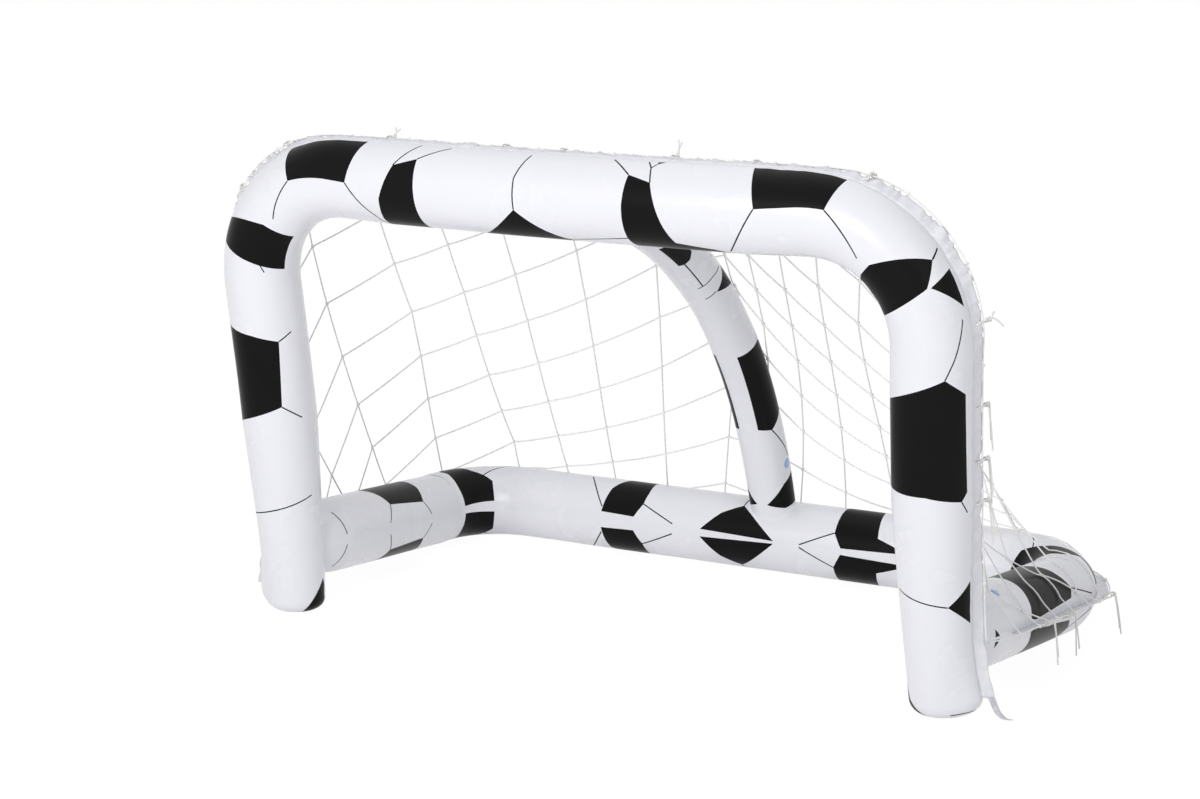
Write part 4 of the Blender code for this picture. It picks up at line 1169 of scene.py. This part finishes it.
def flange_mesh(radius):
    """Welded flange, bent to its tube, with a seat for the stem's rim."""
    lip = 3 * CLEARANCE
    profile = [(STEM_HOLE, -FLANGE_THICKNESS), (STEM_HOLE, CLEARANCE), (STEM_OUTER + CLEARANCE, CLEARANCE)]
    profile += [(STEM_OUTER + 2 * CLEARANCE, lip), (FLANGE_RADIUS - FLANGE_THICKNESS, lip)]
    profile += [(FLANGE_RADIUS, 0), (FLANGE_RADIUS, -FLANGE_THICKNESS)]
    bm = turned(profile, closed=True)
    for vert in bm.verts:
        vert.co.z -= vert.co.y ** 2 / (2 * radius)
    return bm


def stem_mesh(radius):
    """Hollow stem with foot, rim and two ears for the cap's hinge."""
    end = -(FLANGE_RADIUS ** 2 / (2 * radius) + SEAT_SPARE) - STEM_LENGTH
    foot = STEM_RADIUS + STEM_FOOT
    foot_top = end + STEM_FOOT
    profile = [(STEM_BORE, end), (foot, end), (foot, foot_top), (STEM_RADIUS, foot_top)]
    profile += [(STEM_RADIUS, RIM_LEVEL), (STEM_OUTER, RIM_LEVEL), (STEM_OUTER, STEM_TOP)]
    profile += [(STEM_BORE, STEM_TOP)]
    bm = turned(profile, closed=True)
    inner = KNUCKLE_LENGTH / 2 + CLEARANCE
    outer = inner + EAR_THICKNESS
    low = HINGE_PLACE - EAR_THICKNESS
    block(bm, (low, -outer, RIM_LEVEL), (-STEM_RADIUS, outer, STEM_TOP))
    ear_top = HINGE_LEVEL + KNUCKLE_RADIUS
    for y in (-outer, inner):
        block(bm, (low, y, RIM_LEVEL), (HINGE_PLACE + EAR_THICKNESS, y + EAR_THICKNESS, ear_top))
    return bm


def cap_mesh():
    """Cap with a tapered plug, and its strap with a round knuckle."""
    peg_end = CAP_UNDER - PEG_LENGTH
    profile = [(0, CAP_TOP), (CAP_RADIUS, CAP_TOP), (CAP_RADIUS, CAP_UNDER), (PEG_RADIUS, CAP_UNDER)]
    profile += [(PEG_TIP_RADIUS, peg_end), (0, peg_end)]
    bm = turned(profile, closed=False)
    half = KNUCKLE_LENGTH / 2
    strap = KNUCKLE_RADIUS / 2
    end = STEM_RADIUS / 2 - CAP_RADIUS
    block(bm, (HINGE_PLACE, -half, HINGE_LEVEL - strap), (end, half, HINGE_LEVEL + strap))
    lying = Matrix.Translation((HINGE_PLACE, 0, HINGE_LEVEL)) @ Matrix.Rotation(pi / 2, 4, "X")
    bmesh.ops.create_cone(
        bm, segments=KNUCKLE_SIDES, radius1=KNUCKLE_RADIUS, radius2=KNUCKLE_RADIUS,
        depth=KNUCKLE_LENGTH, cap_ends=True, matrix=lying)
    return bm


def valve(label, station, turn):
    """One valve: welded flange, sliding stem and hinged cap."""
    centre, out, across, radius = station
    around = radians(turn)
    normal = out * cos(around) + across * sin(around)
    along = out.cross(across)
    side = normal.cross(along)
    axes = Matrix((along, side, normal)).transposed().to_4x4()
    axes.translation = centre + normal * radius
    meshes = {"flange": flange_mesh(radius), "stem": stem_mesh(radius), "cap": cap_mesh()}
    for part, bm in meshes.items():
        bm.transform(axes)
        node = f"{label}_valve_{part}"
        body = BODY if part == "flange" else f"{label}_{part}"
        mesh = mesh_of(node + "_film", bm, smooth=False)
        made = add_piece(node + "_film", mesh, (VALVE,), "valve_vinyl", node, body=body)
        edge = made.modifiers.new("edge", "BEVEL")
        edge.width = VALVE_EDGE
        edge.segments = 2
        edge.limit_method = "ANGLE"


def valves():
    """The valves of all three chambers."""
    valve("arch", arch_station(ARCH_LENGTH - ARCH_VALVE_HEIGHT), ARCH_VALVE_TURN)
    valve("ground", ground_station(GROUND_LENGTH - GROUND_VALVE_LENGTH), GROUND_VALVE_TURN)
    valve("strut", strut_station(STRUT_LENGTH * STRUT_VALVE_SHARE), STRUT_VALVE_TURN)


def seen_rays(nodes, links):
    """Output that is 1 where a thing is seen, also in a mirror, and 0 for its light."""
    rays = nodes.new("ShaderNodeLightPath")
    output = rays.outputs["Is Camera Ray"]
    for kind in ("Is Glossy Ray", "Is Transmission Ray"):
        most = nodes.new("ShaderNodeMath")
        most.operation = "MAXIMUM"
        links.new(output, most.inputs[0])
        links.new(rays.outputs[kind], most.inputs[1])
        output = most.outputs["Value"]
    return output


def mix_seen(nodes, links, share, unseen, seen, end):
    """Feed an end node with a mix of two shaders, by a share."""
    mixed = nodes.new("ShaderNodeMixShader")
    links.new(share, mixed.inputs["Fac"])
    links.new(unseen.outputs[0], mixed.inputs[1])
    links.new(seen.outputs[0], mixed.inputs[2])
    links.new(mixed.outputs["Shader"], nodes[end].inputs["Surface"])


def surroundings():
    """World that lights softly and is seen white."""
    world = bpy.data.worlds.new("surroundings")
    bpy.context.scene.world = world
    world.use_nodes = True
    nodes, links = world.node_tree.nodes, world.node_tree.links
    sky = nodes["Background"]
    put(sky, Color=(0.96, 0.97, 1, 1), Strength=SKY_LEVEL)
    white = nodes.new("ShaderNodeBackground")
    put(white, Color=(1, 1, 1, 1))
    mix_seen(nodes, links, seen_rays(nodes, links), sky, white, "World Output")


def floor():
    """Pale floor, seen almost white, with the goal's shadow."""
    bm = bmesh.new()
    bmesh.ops.create_grid(bm, x_segments=1, y_segments=1, size=FLOOR_SIZE / 2)
    ground = placed("floor", mesh_of("floor", bm, smooth=False))
    ground.location.z = -FLOOR_DROP
    made, principled, nodes, links = shader("floor_white", (0.9, 0.9, 0.9), 0.6)
    glow = nodes.new("ShaderNodeEmission")
    put(glow, Color=(1, 1, 1, 1), Strength=GLOW_LEVEL)
    seen = nodes.new("ShaderNodeMath")
    seen.operation = "MULTIPLY"
    seen.inputs[1].default_value = FLOOR_GLOW
    links.new(seen_rays(nodes, links), seen.inputs[0])
    mix_seen(nodes, links, seen.outputs["Value"], principled, glow, "Material Output")
    ground.data.materials.append(made)


def lamps():
    """Soft square lamps, turned to the goal."""
    for name, place, size, power in LAMPS:
        data = bpy.data.lights.new(name, "AREA")
        data.shape = "SQUARE"
        data.size = size
        data.energy = power
        lamp = placed(name, data)
        lamp.location = place
        lamp.rotation_euler = (LAMP_TARGET - Vector(place)).to_track_quat("-Z", "Y").to_euler()


def viewpoint():
    """Camera at the photograph's place."""
    data = bpy.data.cameras.new("camera")
    data.lens = CAMERA_LENS
    data.sensor_width = SENSOR_WIDTH
    camera = placed("camera", data)
    camera.location = FEET_MIDDLE + CAMERA_PLACE
    camera.rotation_euler = (radians(90 - CAMERA_DIP), 0, radians(CAMERA_TURN))
    bpy.context.scene.camera = camera
    bpy.context.scene.view_settings.view_transform = "Standard"


chambers()
seams()
net()
valves()
surroundings()
floor()
lamps()
viewpoint()
